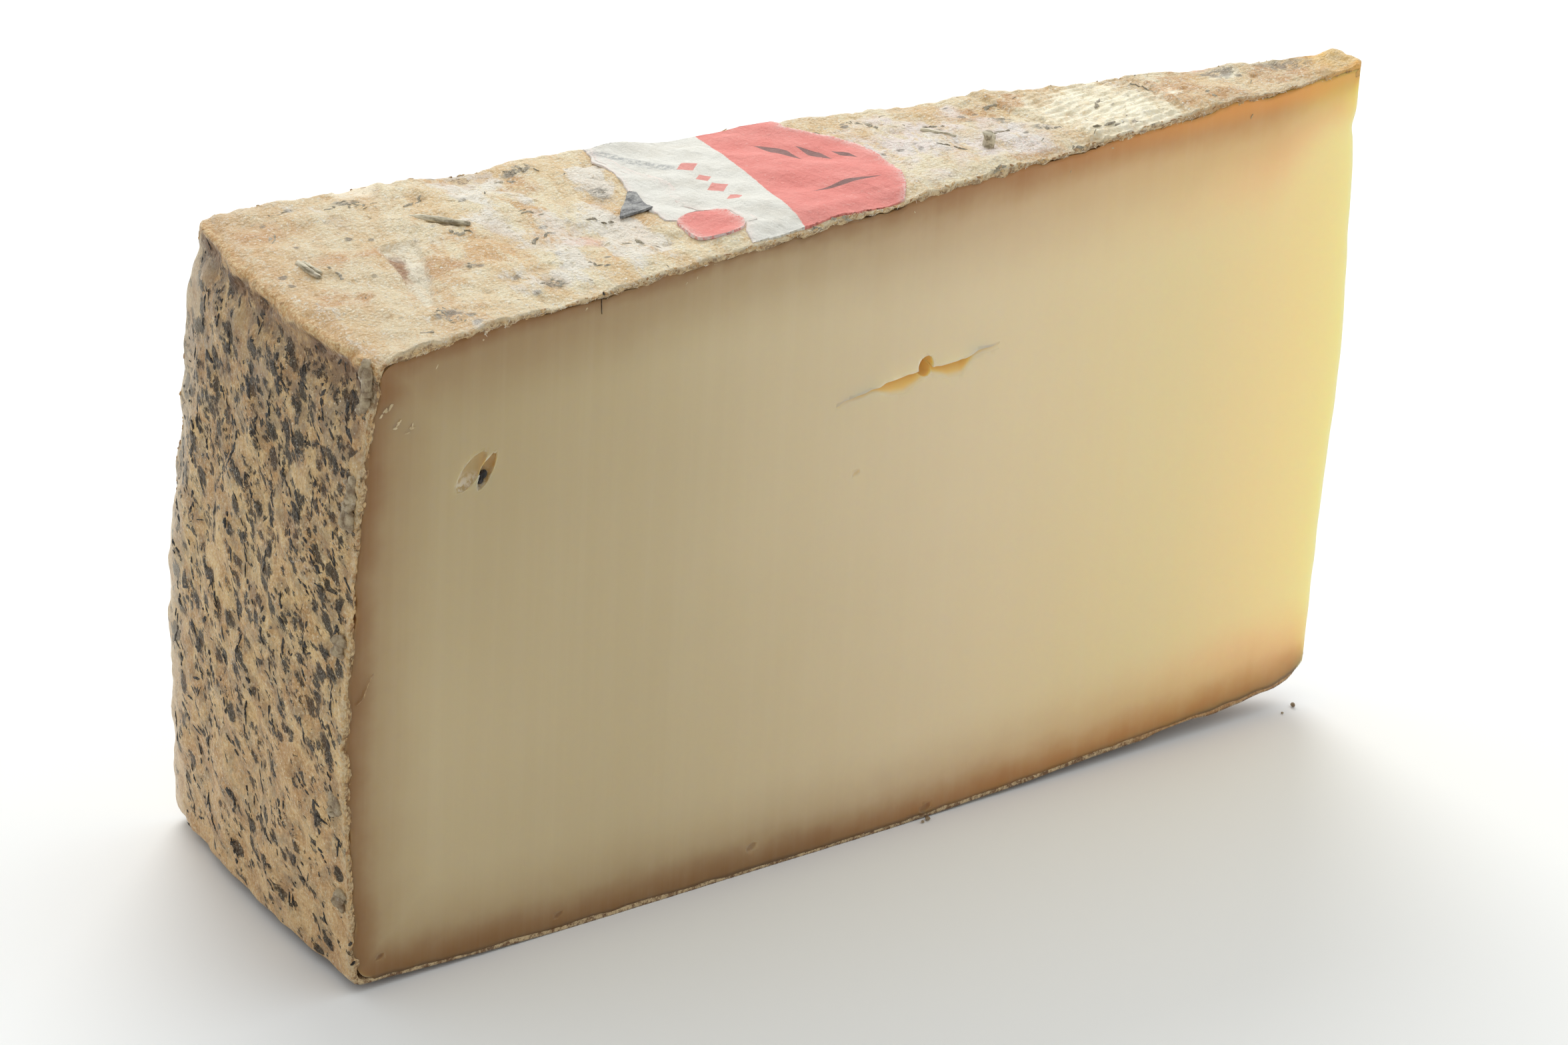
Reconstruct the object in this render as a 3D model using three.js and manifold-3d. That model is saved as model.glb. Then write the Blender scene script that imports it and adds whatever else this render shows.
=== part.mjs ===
// A wedge of herb-rubbed mountain cheese, with a torn paper label stuck to its top rind.
// Millimetres, +Z up. The wheel's axis runs down the wedge's tip at +X and the rim faces -X.
// The cut faces look along -Y (front) and +Y (back). The origin is on the floor, under the
// middle of the wedge.
import * as THREE from "three";
import { mergeVertices } from "three/addons/utils/BufferGeometryUtils.js";
import Module from "manifold-3d";

const wasm = await Module();
wasm.setup();
const { degToRad, seededRandom, smoothstep } = THREE.MathUtils;

// Driving dimensions of the wheel and its slice
const rimRadius = 160.2; // wheel's axis to the widest line of the rim
const halfAngle = degToRad(9.34); // half of the slice
const tipWidth = 4.9; // blunt edge where the two cuts meet
const tipX = 80.08; // wheel's axis, from the middle of the footprint
const axisHeight = 93.7; // top rind at the wheel's axis
const topSlope = 4.56; // fall of the top rind to the rim, the straight share
const topCrown = 5.48; // and the share that grows with the square of the distance
const underRise = 11; // how steeply the round underside lifts off the floor
const restShare = 0.62; // where on the radius the wedge rests
const restSink = 0.27; // how much of the underside has settled flat
const rimTuckTop = 3.2; // the rim is narrower at its top edge
const rimTuckBottom = 2.2; // and at its bottom edge
const rimFoot = 1.2; // height of the rim's bottom edge
const backBulge = 0.9; // the rim swells at its bottom towards the back cut

// Rounded corners of the outline, and the groove under the rolled top edge of the rind
const shoulder = 2.4;
const heel = 1.4;
const toeLength = 7;
const toeHeight = 7.4;
const crownEdge = 1.4;
const grooveDrop = 4.6;
const grooveDepth = 0.8;
const grooveWidth = 1.5;
const edgeDrag = 0.8; // how far the knife pulled the top rind down at the front cut

// Steps of the surface round the outline and across the rind
const topSteps = 44;
const rimSteps = 26;
const underSteps = 40;
const tipSteps = 20;
const cornerSteps = 4;
const acrossSteps = 14;

// Scar across the top rind, near the rim
const scarX = -60.2;
const scarDepth = 0.9;

// Herbs rubbed into the rind, the largest ones
const rimHerbs = 92;
const topHerbs = 20;
const herbSeed = 41;

// Label: a round spot of paper that the knife cut on both sides and that is torn on the left
const spotX = -11;
const spotY = -3;
const spotRadius = 17.5;
const paperGap = 0.3;
const paperThickness = 0.3;
const paperInset = 0.35; // from the cut faces

// Heights and reaches of the plain wheel, before its unevenness
function topHeight(reach) {
  const share = reach / rimRadius;
  return axisHeight - topSlope * share - topCrown * share * share;
}

function underHeight(reach) {
  const share = reach / rimRadius - restShare;
  return Math.max(0, underRise * share * share - restSink);
}

const rimTop = topHeight(rimRadius - rimTuckTop);

function rimReach(height) {
  const share = (height - rimFoot) / (rimTop - rimFoot);
  const foot = rimTuckBottom * (2 * share - 1) * (1 - share);
  const lip = -rimTuckTop * share * (2 * share - 1);
  const groove = Math.exp(-(((rimTop - grooveDrop - height) / grooveWidth) ** 2));
  return rimRadius + foot + lip - grooveDepth * groove;
}

// The tip's edge bows out at half height and has a small notch near its top
function tipReach(height) {
  const bow = 1.2 * Math.exp(-(((height - 50) / 18) ** 2));
  const notch = 0.5 * Math.exp(-(((height - 85.5) / 1.6) ** 2));
  return 0.3 - bow + notch + 0.5 * smoothstep(height, 76, 86);
}

// Unevenness of the rind, outwards
function waves(x, y, z) {
  const broad = Math.sin(0.21 * x + 1.7 * Math.sin(0.13 * y + 0.4)) * Math.cos(0.17 * z + 0.24 * y);
  const middle = Math.sin(0.43 * x + 0.31 * z + 2.1) * Math.sin(0.39 * y - 0.28 * z + 0.6);
  const small = Math.sin(0.93 * y + 0.41 * x) * Math.sin(0.87 * z - 0.52 * x + 1.1);
  return 0.34 * broad + 0.24 * middle + 0.14 * small;
}

// How far the rind stands out from the plain wheel at a point of it
function swell(reach, height, across) {
  const point = onWedge(reach, height, across);
  const low = smoothstep(across, -0.2, 1) * smoothstep(45 - height, 0, 30);
  const nearRim = smoothstep(reach, rimRadius - 9, rimRadius - 3);
  return waves(point.x, point.y, point.z) + backBulge * low * nearRim;
}

// A point at a distance from the wheel's axis; across goes from -1, the front cut, to 1, the back cut
function onWedge(reach, height, across) {
  const angle = across * halfAngle;
  const blunt = (1 - reach / rimRadius) * (tipWidth / 2);
  return new THREE.Vector3(
    tipX - reach * Math.cos(angle),
    reach * Math.sin(angle) + across * blunt,
    height,
  );
}

// The outline of the cut faces: x is the reach, y the height, from the tip over the top,
// down the rim and back along the underside
function outline() {
  const points = [];
  const add = (reach, height) => points.push(new THREE.Vector2(reach, height));
  const addCorner = (from, corner, to) => {
    const curve = new THREE.QuadraticBezierCurve(from, corner, to);
    points.push(...curve.getPoints(cornerSteps).slice(1, -1));
  };
  const shoulderReach = rimReach(rimTop) - shoulder;
  const heelReach = rimReach(rimFoot) - heel;

  for (let i = 0; i <= topSteps; i++) {
    const reach = crownEdge + ((shoulderReach - crownEdge) * i) / topSteps;
    add(reach, topHeight(reach));
  }
  addCorner(
    new THREE.Vector2(shoulderReach, topHeight(shoulderReach)),
    new THREE.Vector2(rimReach(rimTop), rimTop),
    new THREE.Vector2(rimReach(rimTop - shoulder), rimTop - shoulder),
  );
  for (let i = 0; i <= rimSteps; i++) {
    const top = rimTop - shoulder;
    const bottom = rimFoot + heel;
    const height = top + ((bottom - top) * i) / rimSteps;
    add(rimReach(height), height);
  }
  addCorner(
    new THREE.Vector2(rimReach(rimFoot + heel), rimFoot + heel),
    new THREE.Vector2(rimReach(rimFoot), rimFoot),
    new THREE.Vector2(heelReach, underHeight(heelReach)),
  );
  for (let i = 0; i <= underSteps; i++) {
    const reach = heelReach + ((toeLength - heelReach) * i) / underSteps;
    add(reach, underHeight(reach));
  }
  addCorner(
    new THREE.Vector2(toeLength, underHeight(toeLength)),
    new THREE.Vector2(1, 4.2),
    new THREE.Vector2(tipReach(toeHeight), toeHeight),
  );
  for (let i = 0; i <= tipSteps; i++) {
    const top = axisHeight - crownEdge;
    const height = toeHeight + ((top - toeHeight) * i) / tipSteps;
    add(tipReach(height), height);
  }
  return points;
}

// How much of the unevenness shows: all of it on the rind, little where the knife passed,
// none where the wedge stands
function roughness(reach, height) {
  const rind = 0.25 + 0.75 * smoothstep(reach, 0, 9);
  return rind * smoothstep(height, 0.05, 2.5);
}

// The whole wedge as one closed surface: the rind in rows across the outline, and two cut faces
function wedgeGeometry() {
  const profile = outline();
  const count = profile.length;
  const vertices = [];
  for (let i = 0; i < count; i++) {
    const here = profile[i];
    const direction = profile[(i + 1) % count].clone().sub(profile[(i + count - 1) % count]);
    const normal = new THREE.Vector2(-direction.y, direction.x).normalize();
    for (let j = 0; j <= acrossSteps; j++) {
      const across = (2 * j) / acrossSteps - 1;
      const lift = roughness(here.x, here.y) * swell(here.x, here.y, across);
      const reach = here.x + normal.x * lift;
      const drag = edgeDrag * smoothstep(normal.y, 0.5, 1) * smoothstep(-across, 0.8, 1);
      const fromRim = smoothstep(rimRadius - reach, 10, 70);
      const height = Math.max(0, here.y + normal.y * lift - drag * fromRim);
      vertices.push(...onWedge(reach, height, across).toArray());
    }
  }
  const faces = [];
  const row = acrossSteps + 1;
  for (let i = 0; i < count; i++) {
    const next = (i + 1) % count;
    for (let j = 0; j < acrossSteps; j++) {
      const a = i * row + j;
      const b = next * row + j;
      faces.push(a, a + 1, b + 1, a, b + 1, b);
    }
  }
  for (const edge of [0, acrossSteps]) {
    const loop = profile.map((_, i) => {
      const at = 3 * (i * row + edge);
      return new THREE.Vector2(tipX - vertices[at], vertices[at + 2]);
    });
    for (const [a, b, c] of THREE.ShapeUtils.triangulateShape(loop, [])) {
      const area = loop[b].clone().sub(loop[a]).cross(loop[c].clone().sub(loop[a]));
      const turned = area > 0 === (edge === 0);
      faces.push(a * row + edge, (turned ? c : b) * row + edge, (turned ? b : c) * row + edge);
    }
  }
  const geometry = new THREE.BufferGeometry();
  geometry.setAttribute("position", new THREE.Float32BufferAttribute(vertices, 3));
  geometry.setIndex(faces);
  return geometry;
}

// Joins and cuts
function toSolid(geometry) {
  const bare = geometry.clone();
  bare.deleteAttribute("normal");
  bare.deleteAttribute("uv");
  const merged = mergeVertices(bare, 1e-4);
  return new wasm.Manifold(
    new wasm.Mesh({
      numProp: 3,
      vertProperties: merged.attributes.position.array,
      triVerts: new Uint32Array(merged.index.array),
    }),
  );
}

function toGeometry(solid) {
  const mesh = solid.getMesh();
  const geometry = new THREE.BufferGeometry();
  geometry.setAttribute("position", new THREE.BufferAttribute(mesh.vertProperties, mesh.numProp));
  geometry.setIndex(new THREE.BufferAttribute(mesh.triVerts, 1));
  const flat = geometry.toNonIndexed();
  flat.computeVertexNormals();
  return flat;
}

// A rounded lump: long along the first axis and flat along the third
function lump(size, axes, centre, rings = 3, segments = 5) {
  const geometry = new THREE.SphereGeometry(1, segments, rings);
  geometry.rotateZ(Math.PI / 2);
  geometry.scale(size.x / 2, size.y / 2, size.z / 2);
  const place = new THREE.Matrix4().makeBasis(...axes).setPosition(centre);
  return geometry.applyMatrix4(place);
}

// The front cut face: x runs to the tip, y up and z out of the cheese
const frontTip = onWedge(0, 0, -1);
const frontRim = onWedge(rimRadius, 0, -1);
const frontAlong = frontTip.clone().sub(frontRim).normalize();
const frontUp = new THREE.Vector3(0, 0, 1);
const frontOut = frontAlong.clone().cross(frontUp);

function onFront(x, height, out = 0) {
  const point = frontTip.clone().addScaledVector(frontAlong, (x - tipX) / frontAlong.x);
  return point.addScaledVector(frontUp, height).addScaledVector(frontOut, out);
}

function frontAxes(lean) {
  const long = frontAlong.clone().applyAxisAngle(frontOut, lean);
  const wide = frontUp.clone().applyAxisAngle(frontOut, lean);
  return [long, wide, frontOut.clone()];
}

// The slit in the paste, sharp above and broken out below, with a round eye on it
function crackGeometries() {
  const crackX = 7.5;
  const crackHeight = 65.1;
  const crackDepth = 3.2;
  const upper = [
    [-13.3, -2.4], [-10, -1.2], [-7, -0.8], [-4, 0], [0.6, 0.4],
    [3.4, 0.2], [6.4, 0.6], [9, 1.1], [12.2, 0.7],
  ];
  const lower = [
    [9.2, 0.7], [7.2, -0.3], [5.2, -1.3], [3.2, -0.6], [0.2, -1],
    [-2.8, -1.9], [-5, -1], [-7, -1.2], [-10, -1.5],
  ];
  const toVector = ([x, y]) => new THREE.Vector2(x, y);
  const shape = new THREE.Shape();
  shape.moveTo(...upper[0]);
  shape.splineThru(upper.slice(1).map(toVector));
  shape.splineThru([...lower, upper[0]].map(toVector));
  const slit = new THREE.ExtrudeGeometry(shape, {
    depth: crackDepth + 1,
    curveSegments: 2,
    bevelEnabled: false,
  });
  slit.translate(0, 0, -crackDepth);
  slit.applyMatrix4(
    new THREE.Matrix4().makeBasis(...frontAxes(0)).setPosition(onFront(crackX, crackHeight)),
  );
  const eyeSize = new THREE.Vector3(2.5, 2.9, 6);
  const eye = lump(eyeSize, frontAxes(0), onFront(crackX + 0.6, crackHeight + 0.7), 6, 10);
  return [slit, eye];
}

// The long shallow eye near the rim, in two lobes, with a peppercorn left in it
const lobes = [
  { x: -60.9, height: 66.9, length: 6, width: 2.9, depth: 1.5, lean: 48 },
  { x: -58.7, height: 66.5, length: 5, width: 1.9, depth: 1.7, lean: 62 },
];

function eyeGeometries() {
  return lobes.map((lobe) => {
    const size = new THREE.Vector3(lobe.length, lobe.width, lobe.depth * 2);
    return lump(size, frontAxes(degToRad(lobe.lean)), onFront(lobe.x, lobe.height), 6, 10);
  });
}

function peppercornGeometry() {
  const size = new THREE.Vector3(1.9, 1.2, 1.4);
  return lump(size, frontAxes(degToRad(60)), onFront(-59, 65.7, -1.2), 5, 7);
}

// Places on the top rind, by x and y
function onTop(x, y, lift = 0) {
  const reach = Math.hypot(tipX - x, y);
  return new THREE.Vector3(x, y, topHeight(reach) + lift);
}

const flatAxes = (turn) => [
  new THREE.Vector3(Math.cos(turn), Math.sin(turn), 0),
  new THREE.Vector3(-Math.sin(turn), Math.cos(turn), 0),
  new THREE.Vector3(0, 0, 1),
];

// A chip out of the back edge, nicks along the front edge, and a V-shaped scar in the top rind
function chipGeometries() {
  const backChip = lump(new THREE.Vector3(9, 7, 3), flatAxes(0.15), onTop(-58, 24.8, 0.3), 6, 9);
  const nicks = [-67.5, -63.8, -52, -27.5, 24, 43].map((x, i) => {
    const size = new THREE.Vector3(2.6 + (i % 3), 1.6, 1.5);
    return lump(size, frontAxes(0.1), onFront(x, onTop(x, 0).z - 0.9, 0.3), 4, 6);
  });
  return [backChip, ...nicks];
}

function scarGeometry() {
  const shape = new THREE.Shape();
  shape.moveTo(-60.9, 4.4);
  shape.lineTo(-57.2, 2.6);
  shape.quadraticCurveTo(-60.2, -5, -63.4, -15.3);
  shape.quadraticCurveTo(-61.6, -5, -60.9, 4.4);
  const cutter = new THREE.ExtrudeGeometry(shape, { depth: 4, curveSegments: 4, bevelEnabled: false });
  cutter.translate(0, 0, onTop(scarX, 0).z - scarDepth);
  return cutter;
}

// Lumps of crust at the tip's top and down the front edge of the rim
function crustGeometries() {
  const tipPlaces = [
    { x: 76.4, y: 1.1, length: 4, lift: 0 },
    { x: 78.9, y: -1.1, length: 2.8, lift: -0.7 },
  ];
  const tipLumps = tipPlaces.map(({ x, y, length, lift }) =>
    lump(new THREE.Vector3(length, 2.7, 2.2), flatAxes(0.5), onTop(x, y, lift), 5, 7),
  );
  const rimPlaces = [[79.5, 4.6], [67, 3.4], [47.5, 2.4], [26, 2.6], [13, 2.2]];
  const rimLumps = rimPlaces.map(([height, length]) => {
    const centre = onWedge(rimReach(height) - 0.3, height, -0.965);
    const axes = [new THREE.Vector3(0, 0, 1), frontOut, frontAlong];
    return lump(new THREE.Vector3(length, 2, 1.6), axes, centre, 5, 7);
  });
  return [...tipLumps, ...rimLumps];
}

// Stems that lie in the top rind, and one short stub that stands
function stemGeometries() {
  const stems = [
    { from: onTop(-53.1, 10.1, 0.2), to: onTop(-48.7, 3.5, 0.3), radius: 0.7 },
    { from: onTop(-71.6, 4.3, 0.1), to: onTop(-70.4, -0.2, 0.2), radius: 0.75 },
    { from: onTop(20.4, -4.6, -0.8), to: onTop(19.7, -5.2, 2.3), radius: 0.85 },
    { from: onTop(15.2, 3.6, 0), to: onTop(17.6, -1.2, 0.2), radius: 0.4 },
  ];
  return stems.map(({ from, to, radius }) => {
    const way = to.clone().sub(from);
    const stem = new THREE.CylinderGeometry(radius, radius * 0.85, way.length(), 6);
    const turn = new THREE.Quaternion().setFromUnitVectors(
      new THREE.Vector3(0, 1, 0),
      way.clone().normalize(),
    );
    stem.applyQuaternion(turn);
    return stem.translate(...from.clone().addScaledVector(way, 0.5).toArray());
  });
}

// Herb slivers, half sunk in the rind, each clear of the ones before it
function herbGeometries() {
  seededRandom(herbSeed);
  const draw = (low, high) => low + (high - low) * seededRandom();
  const placed = [];
  const herbs = [];
  const isClear = (point, room) => placed.every((other) => other.distanceTo(point) > room);
  const place = (centre, axes) => {
    placed.push(centre);
    const size = new THREE.Vector3(draw(3, 6.2), draw(1, 1.6), draw(1.1, 1.5));
    herbs.push(lump(size, axes, centre));
  };

  while (placed.length < rimHerbs) {
    const across = draw(-0.9, 0.9);
    const height = draw(6, rimTop - 7);
    const slant = degToRad(draw(-5, 60));
    const reach = rimReach(height) + swell(rimReach(height), height, across);
    const centre = onWedge(reach, height, across);
    if (!isClear(centre, 4.6)) continue;
    const angle = across * halfAngle;
    const out = new THREE.Vector3(-Math.cos(angle), Math.sin(angle), 0);
    const side = new THREE.Vector3(-Math.sin(angle), -Math.cos(angle), 0);
    const long = side.clone().multiplyScalar(Math.sin(slant));
    long.z = -Math.cos(slant);
    place(centre, [long, out.clone().cross(long), out]);
  }
  while (placed.length < rimHerbs + topHerbs) {
    const reach = draw(24, rimRadius - 9);
    const across = draw(-0.8, 0.8);
    const turn = draw(0, Math.PI);
    const height = topHeight(reach) + swell(reach, topHeight(reach), across);
    const centre = onWedge(reach, height, across);
    const nearLabel = Math.hypot(centre.x - spotX, centre.y - spotY) < spotRadius + 5;
    const nearScar = Math.abs(centre.x - scarX) < 7;
    if (nearLabel || nearScar || !isClear(centre, 7)) continue;
    place(centre, flatAxes(turn));
  }
  return herbs;
}

// The torn paper: the outlines are cut out of a copy of the rind that is lifted off it,
// a little inside the two cut faces
function paperSolid(outlineShape, wedge) {
  const column = (shape) => {
    const geometry = new THREE.ExtrudeGeometry(shape, {
      depth: 20,
      curveSegments: 18,
      bevelEnabled: false,
    });
    return toSolid(geometry.translate(0, 0, topHeight(tipX - spotX) - 10));
  };
  const corners = [[0.3, -1], [0.9, -1], [0.9, 1], [0.3, 1]].map(([share, across]) => {
    const corner = onWedge(share * rimRadius, 0, across);
    return new THREE.Vector2(corner.x, corner.y - across * paperInset);
  });
  const upper = toSolid(wedge.clone().translate(0, 0, paperGap + paperThickness));
  const lower = toSolid(wedge.clone().translate(0, 0, paperGap));
  const paper = column(outlineShape).intersect(column(new THREE.Shape(corners)));
  return upper.intersect(paper).subtract(lower);
}

function labelShape() {
  const past = 24; // beyond both cut faces, which trim the paper
  const tear = [
    [-24.6, past], [-24.9, 19.4], [-26.2, 13.6], [-25.6, 8.2],
    [-26.6, 3], [-27.6, -3.6], [-25.2, -6.6],
  ];
  const scrapSide = [
    [-21.6, -6.5], [-19.2, -8.4], [-18.9, -12.6], [-20.4, -14.9], [-20.6, -past],
  ];
  const shape = new THREE.Shape();
  shape.moveTo(...tear[0]);
  [...tear.slice(1), ...scrapSide].forEach(([x, y]) => shape.lineTo(x, y));
  const start = degToRad(-62);
  const end = degToRad(54);
  shape.lineTo(spotX + spotRadius * Math.cos(start), -past);
  shape.absarc(spotX, spotY, spotRadius, start, end, false);
  shape.lineTo(spotX + spotRadius * Math.cos(end), past);
  shape.closePath();
  return shape;
}

function scrapShape() {
  const edge = [
    [-24.7, -7.2], [-25.7, -9], [-26.3, -12.4], [-24.7, -14.7],
    [-21.2, -14.8], [-19.5, -12.7], [-19.8, -8.7], [-21.8, -7.1],
  ];
  return new THREE.Shape(edge.map(([x, y]) => new THREE.Vector2(x, y)));
}

function cheeseSolid(wedge) {
  let solid = toSolid(wedge);
  const add = (geometry) => {
    solid = solid.add(toSolid(geometry));
  };
  const cut = (geometry) => {
    solid = solid.subtract(toSolid(geometry));
  };
  [...chipGeometries(), scarGeometry(), ...crackGeometries(), ...eyeGeometries()].forEach(cut);
  [peppercornGeometry(), ...crustGeometries(), ...stemGeometries(), ...herbGeometries()].forEach(add);
  return solid;
}

function namedMesh(name, geometry, color, roughness) {
  const material = new THREE.MeshStandardMaterial({ color, roughness, metalness: 0 });
  const mesh = new THREE.Mesh(geometry, material);
  mesh.name = name;
  return mesh;
}

const wedge = wedgeGeometry();
const part = new THREE.Group();
part.add(namedMesh("cheese", toGeometry(cheeseSolid(wedge)), "#cdb07c", 0.55));
part.add(namedMesh("label", toGeometry(paperSolid(labelShape(), wedge)), "#e0756f", 0.7));
part.add(namedMesh("label_scrap", toGeometry(paperSolid(scrapShape(), wedge)), "#d9605c", 0.7));

export default part;
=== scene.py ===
# A wedge of herb-rubbed mountain cheese with a torn round label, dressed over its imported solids.
# Shapes are worked out in millimetres, as the wheel was measured, and set down in metres.
import math

import bmesh
import bpy
import numpy as np
from mathutils import Matrix, Vector
from mathutils.bvhtree import BVHTree


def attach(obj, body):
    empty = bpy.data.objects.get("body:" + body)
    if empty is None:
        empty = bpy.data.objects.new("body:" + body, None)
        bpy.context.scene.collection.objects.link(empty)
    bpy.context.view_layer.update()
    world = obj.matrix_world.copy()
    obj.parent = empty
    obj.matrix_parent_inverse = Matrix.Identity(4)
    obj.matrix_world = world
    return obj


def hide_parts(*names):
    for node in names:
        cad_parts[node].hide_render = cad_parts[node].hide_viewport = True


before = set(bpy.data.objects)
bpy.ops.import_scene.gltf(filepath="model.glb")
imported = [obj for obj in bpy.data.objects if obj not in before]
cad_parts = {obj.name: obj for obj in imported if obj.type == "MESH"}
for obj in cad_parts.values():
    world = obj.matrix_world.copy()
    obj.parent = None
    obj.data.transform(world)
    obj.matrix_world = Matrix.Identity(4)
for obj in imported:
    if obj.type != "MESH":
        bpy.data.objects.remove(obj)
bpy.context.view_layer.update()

mm = 0.001
body = "root"
seeds = {
    "eyes": 71,
    "smallEye": 72,
    "nicks": 73,
    "smallHerbs": 90,
    "herbs": 94,
    "stems": 95,
    "peppercorn": 96,
    "crust": 97,
    "fibres": 98,
    "hairs": 99,
}

# The wheel, its slice and its roundings, the same sizes as the solids have
wheel = {
    "rimRadius": 160.2,
    "halfAngle": math.radians(9.34),
    "tipWidth": 4.9,
    "tipX": 80.08,
    "axisHeight": 93.7,
    "topSlope": 4.56,
    "topCrown": 5.48,
    "underRise": 11,
    "restShare": 0.62,
    "restSink": 0.27,
    "tuckTop": 3.2,
    "tuckBottom": 2.2,
    "foot": 1.2,
    "backBulge": 0.9,
    "shoulder": 2.4,
    "heel": 1.4,
    "toeLength": 7,
    "toeHeight": 7.4,
    "crownEdge": 1.4,
    "grooveDrop": 4.6,
    "grooveDepth": 0.8,
    "grooveWidth": 1.5,
    "edgeDrag": 0.8,
    "tipBack": 0.3,
    "tipBow": (1.2, 50, 18),  # depth, height and width
    "tipNotch": (0.5, 85.5, 1.6),
    "tipLean": (0.5, 76, 86),
}
rimRadius = wheel["rimRadius"]
halfAngle = wheel["halfAngle"]
tipX = wheel["tipX"]


# Numbers over whole arrays of points
def smoothStep(value, low, high):
    share = np.clip((value - low) / (high - low), 0, 1)
    return share * share * (3 - 2 * share)


def hump(value, middle, width):
    return np.exp(-(((value - middle) / width) ** 2))


def drawsOf(name):
    return np.random.default_rng(seeds[name])


def rowsOf(x, y=0.0, z=0.0):
    # one row of three numbers for every point
    return np.stack(np.broadcast_arrays(x, y, z), axis=-1).astype(float)


noiseTables = {}


def softNoise(points, size, seed):
    # smooth lumps about size millimetres wide, from -1 to 1
    if seed not in noiseTables:
        noiseTables[seed] = np.random.default_rng(seed).uniform(-1, 1, (32, 32, 32))
    table = noiseTables[seed]
    place = np.asarray(points) / np.asarray(size) + 7.3
    cell = np.floor(place).astype(int)
    part = place - cell
    part = part * part * (3 - 2 * part)
    total = np.zeros(len(place))
    for corner in np.ndindex(2, 2, 2):
        weight = np.prod(np.where(corner, part, 1 - part), axis=1)
        at = (cell + corner) % 32
        total += weight * table[at[:, 0], at[:, 1], at[:, 2]]
    return total


def lumpy(points, *layers):
    # soft noise in layers, each with its height, size and seed
    return sum(height * softNoise(points, size, seed) for height, size, seed in layers)


def grains(points, size, seed, octaves=3):
    total = np.zeros(len(points))
    for octave in range(octaves):
        total += softNoise(points, np.asarray(size) / 2**octave, seed + octave) / 2**octave
    return total


# The plain wheel
def topHeight(reach):
    share = reach / rimRadius
    return wheel["axisHeight"] - wheel["topSlope"] * share - wheel["topCrown"] * share**2


def underHeight(reach):
    share = reach / rimRadius - wheel["restShare"]
    return np.maximum(0, wheel["underRise"] * share**2 - wheel["restSink"])


rimTop = topHeight(rimRadius - wheel["tuckTop"])


def rimReach(height):
    share = (height - wheel["foot"]) / (rimTop - wheel["foot"])
    low = wheel["tuckBottom"] * (2 * share - 1) * (1 - share)
    lip = -wheel["tuckTop"] * share * (2 * share - 1)
    groove = hump(height, rimTop - wheel["grooveDrop"], wheel["grooveWidth"])
    return rimRadius + low + lip - wheel["grooveDepth"] * groove


def tipReach(height):
    (bow, *bowSpan), (notch, *notchSpan), (lean, *leanSpan) = (wheel[key] for key in ("tipBow", "tipNotch", "tipLean"))
    edge = wheel["tipBack"] - bow * hump(height, *bowSpan) + notch * hump(height, *notchSpan)
    return edge + lean * smoothStep(height, *leanSpan)


def bluntness(reach):
    # half the width that the slice has besides its angle
    return (1 - reach / rimRadius) * wheel["tipWidth"] / 2


def onWedge(reach, height, across):
    angle = across * halfAngle
    return rowsOf(tipX - reach * np.cos(angle), reach * np.sin(angle) + across * bluntness(reach), height)


def offWedge(points):
    # the reach and the share across of points on the wedge
    away = tipX - points[:, 0]
    across = np.zeros(len(points))
    for _ in range(4):
        reach = away / np.cos(across * halfAngle)
        across = points[:, 1] / np.maximum(reach * math.sin(halfAngle) + bluntness(reach), 0.5)
    return reach, across


def waves(points):
    # the unevenness of the whole wedge, in three sizes
    x, y, z = points[:, 0], points[:, 1], points[:, 2]
    broad = np.sin(0.21 * x + 1.7 * np.sin(0.13 * y + 0.4)) * np.cos(0.17 * z + 0.24 * y)
    middle = np.sin(0.43 * x + 0.31 * z + 2.1) * np.sin(0.39 * y - 0.28 * z + 0.6)
    small = np.sin(0.93 * y + 0.41 * x) * np.sin(0.87 * z - 0.52 * x + 1.1)
    return 0.34 * broad + 0.24 * middle + 0.14 * small


def swell(reach, height, across):
    # the waves, and a bulge low on the back of the rim
    low = smoothStep(across, -0.2, 1) * smoothStep(45 - height, 0, 30)
    nearRim = smoothStep(reach, rimRadius - 9, rimRadius - 3)
    return waves(onWedge(reach, height, across)) + wheel["backBulge"] * low * nearRim


def skinLift(reach, height, across):
    # how far the skin stands off the plain wheel, less at the tip and at the floor
    share = (0.25 + 0.75 * smoothStep(reach, 0, 9)) * smoothStep(height, 0.05, 2.5)
    return share * swell(reach, height, across)


def edgeDrag(reach, across):
    # how far the knife drew the top's front edge down
    drag = wheel["edgeDrag"] * smoothStep(-across, 0.8, 1) * smoothStep(rimRadius - reach, 10, 70)
    return drag * (0.15 + 0.85 * smoothStep(reach, 15, 80))


def cornerCurve(start, corner, end, count):
    # a rounding from start to end, drawn towards the corner
    share = np.linspace(0, 1, count)[:, None]
    start, corner, end = (np.array(p, float) for p in (start, corner, end))
    return (1 - share) ** 2 * start + 2 * share * (1 - share) * corner + share**2 * end


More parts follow.
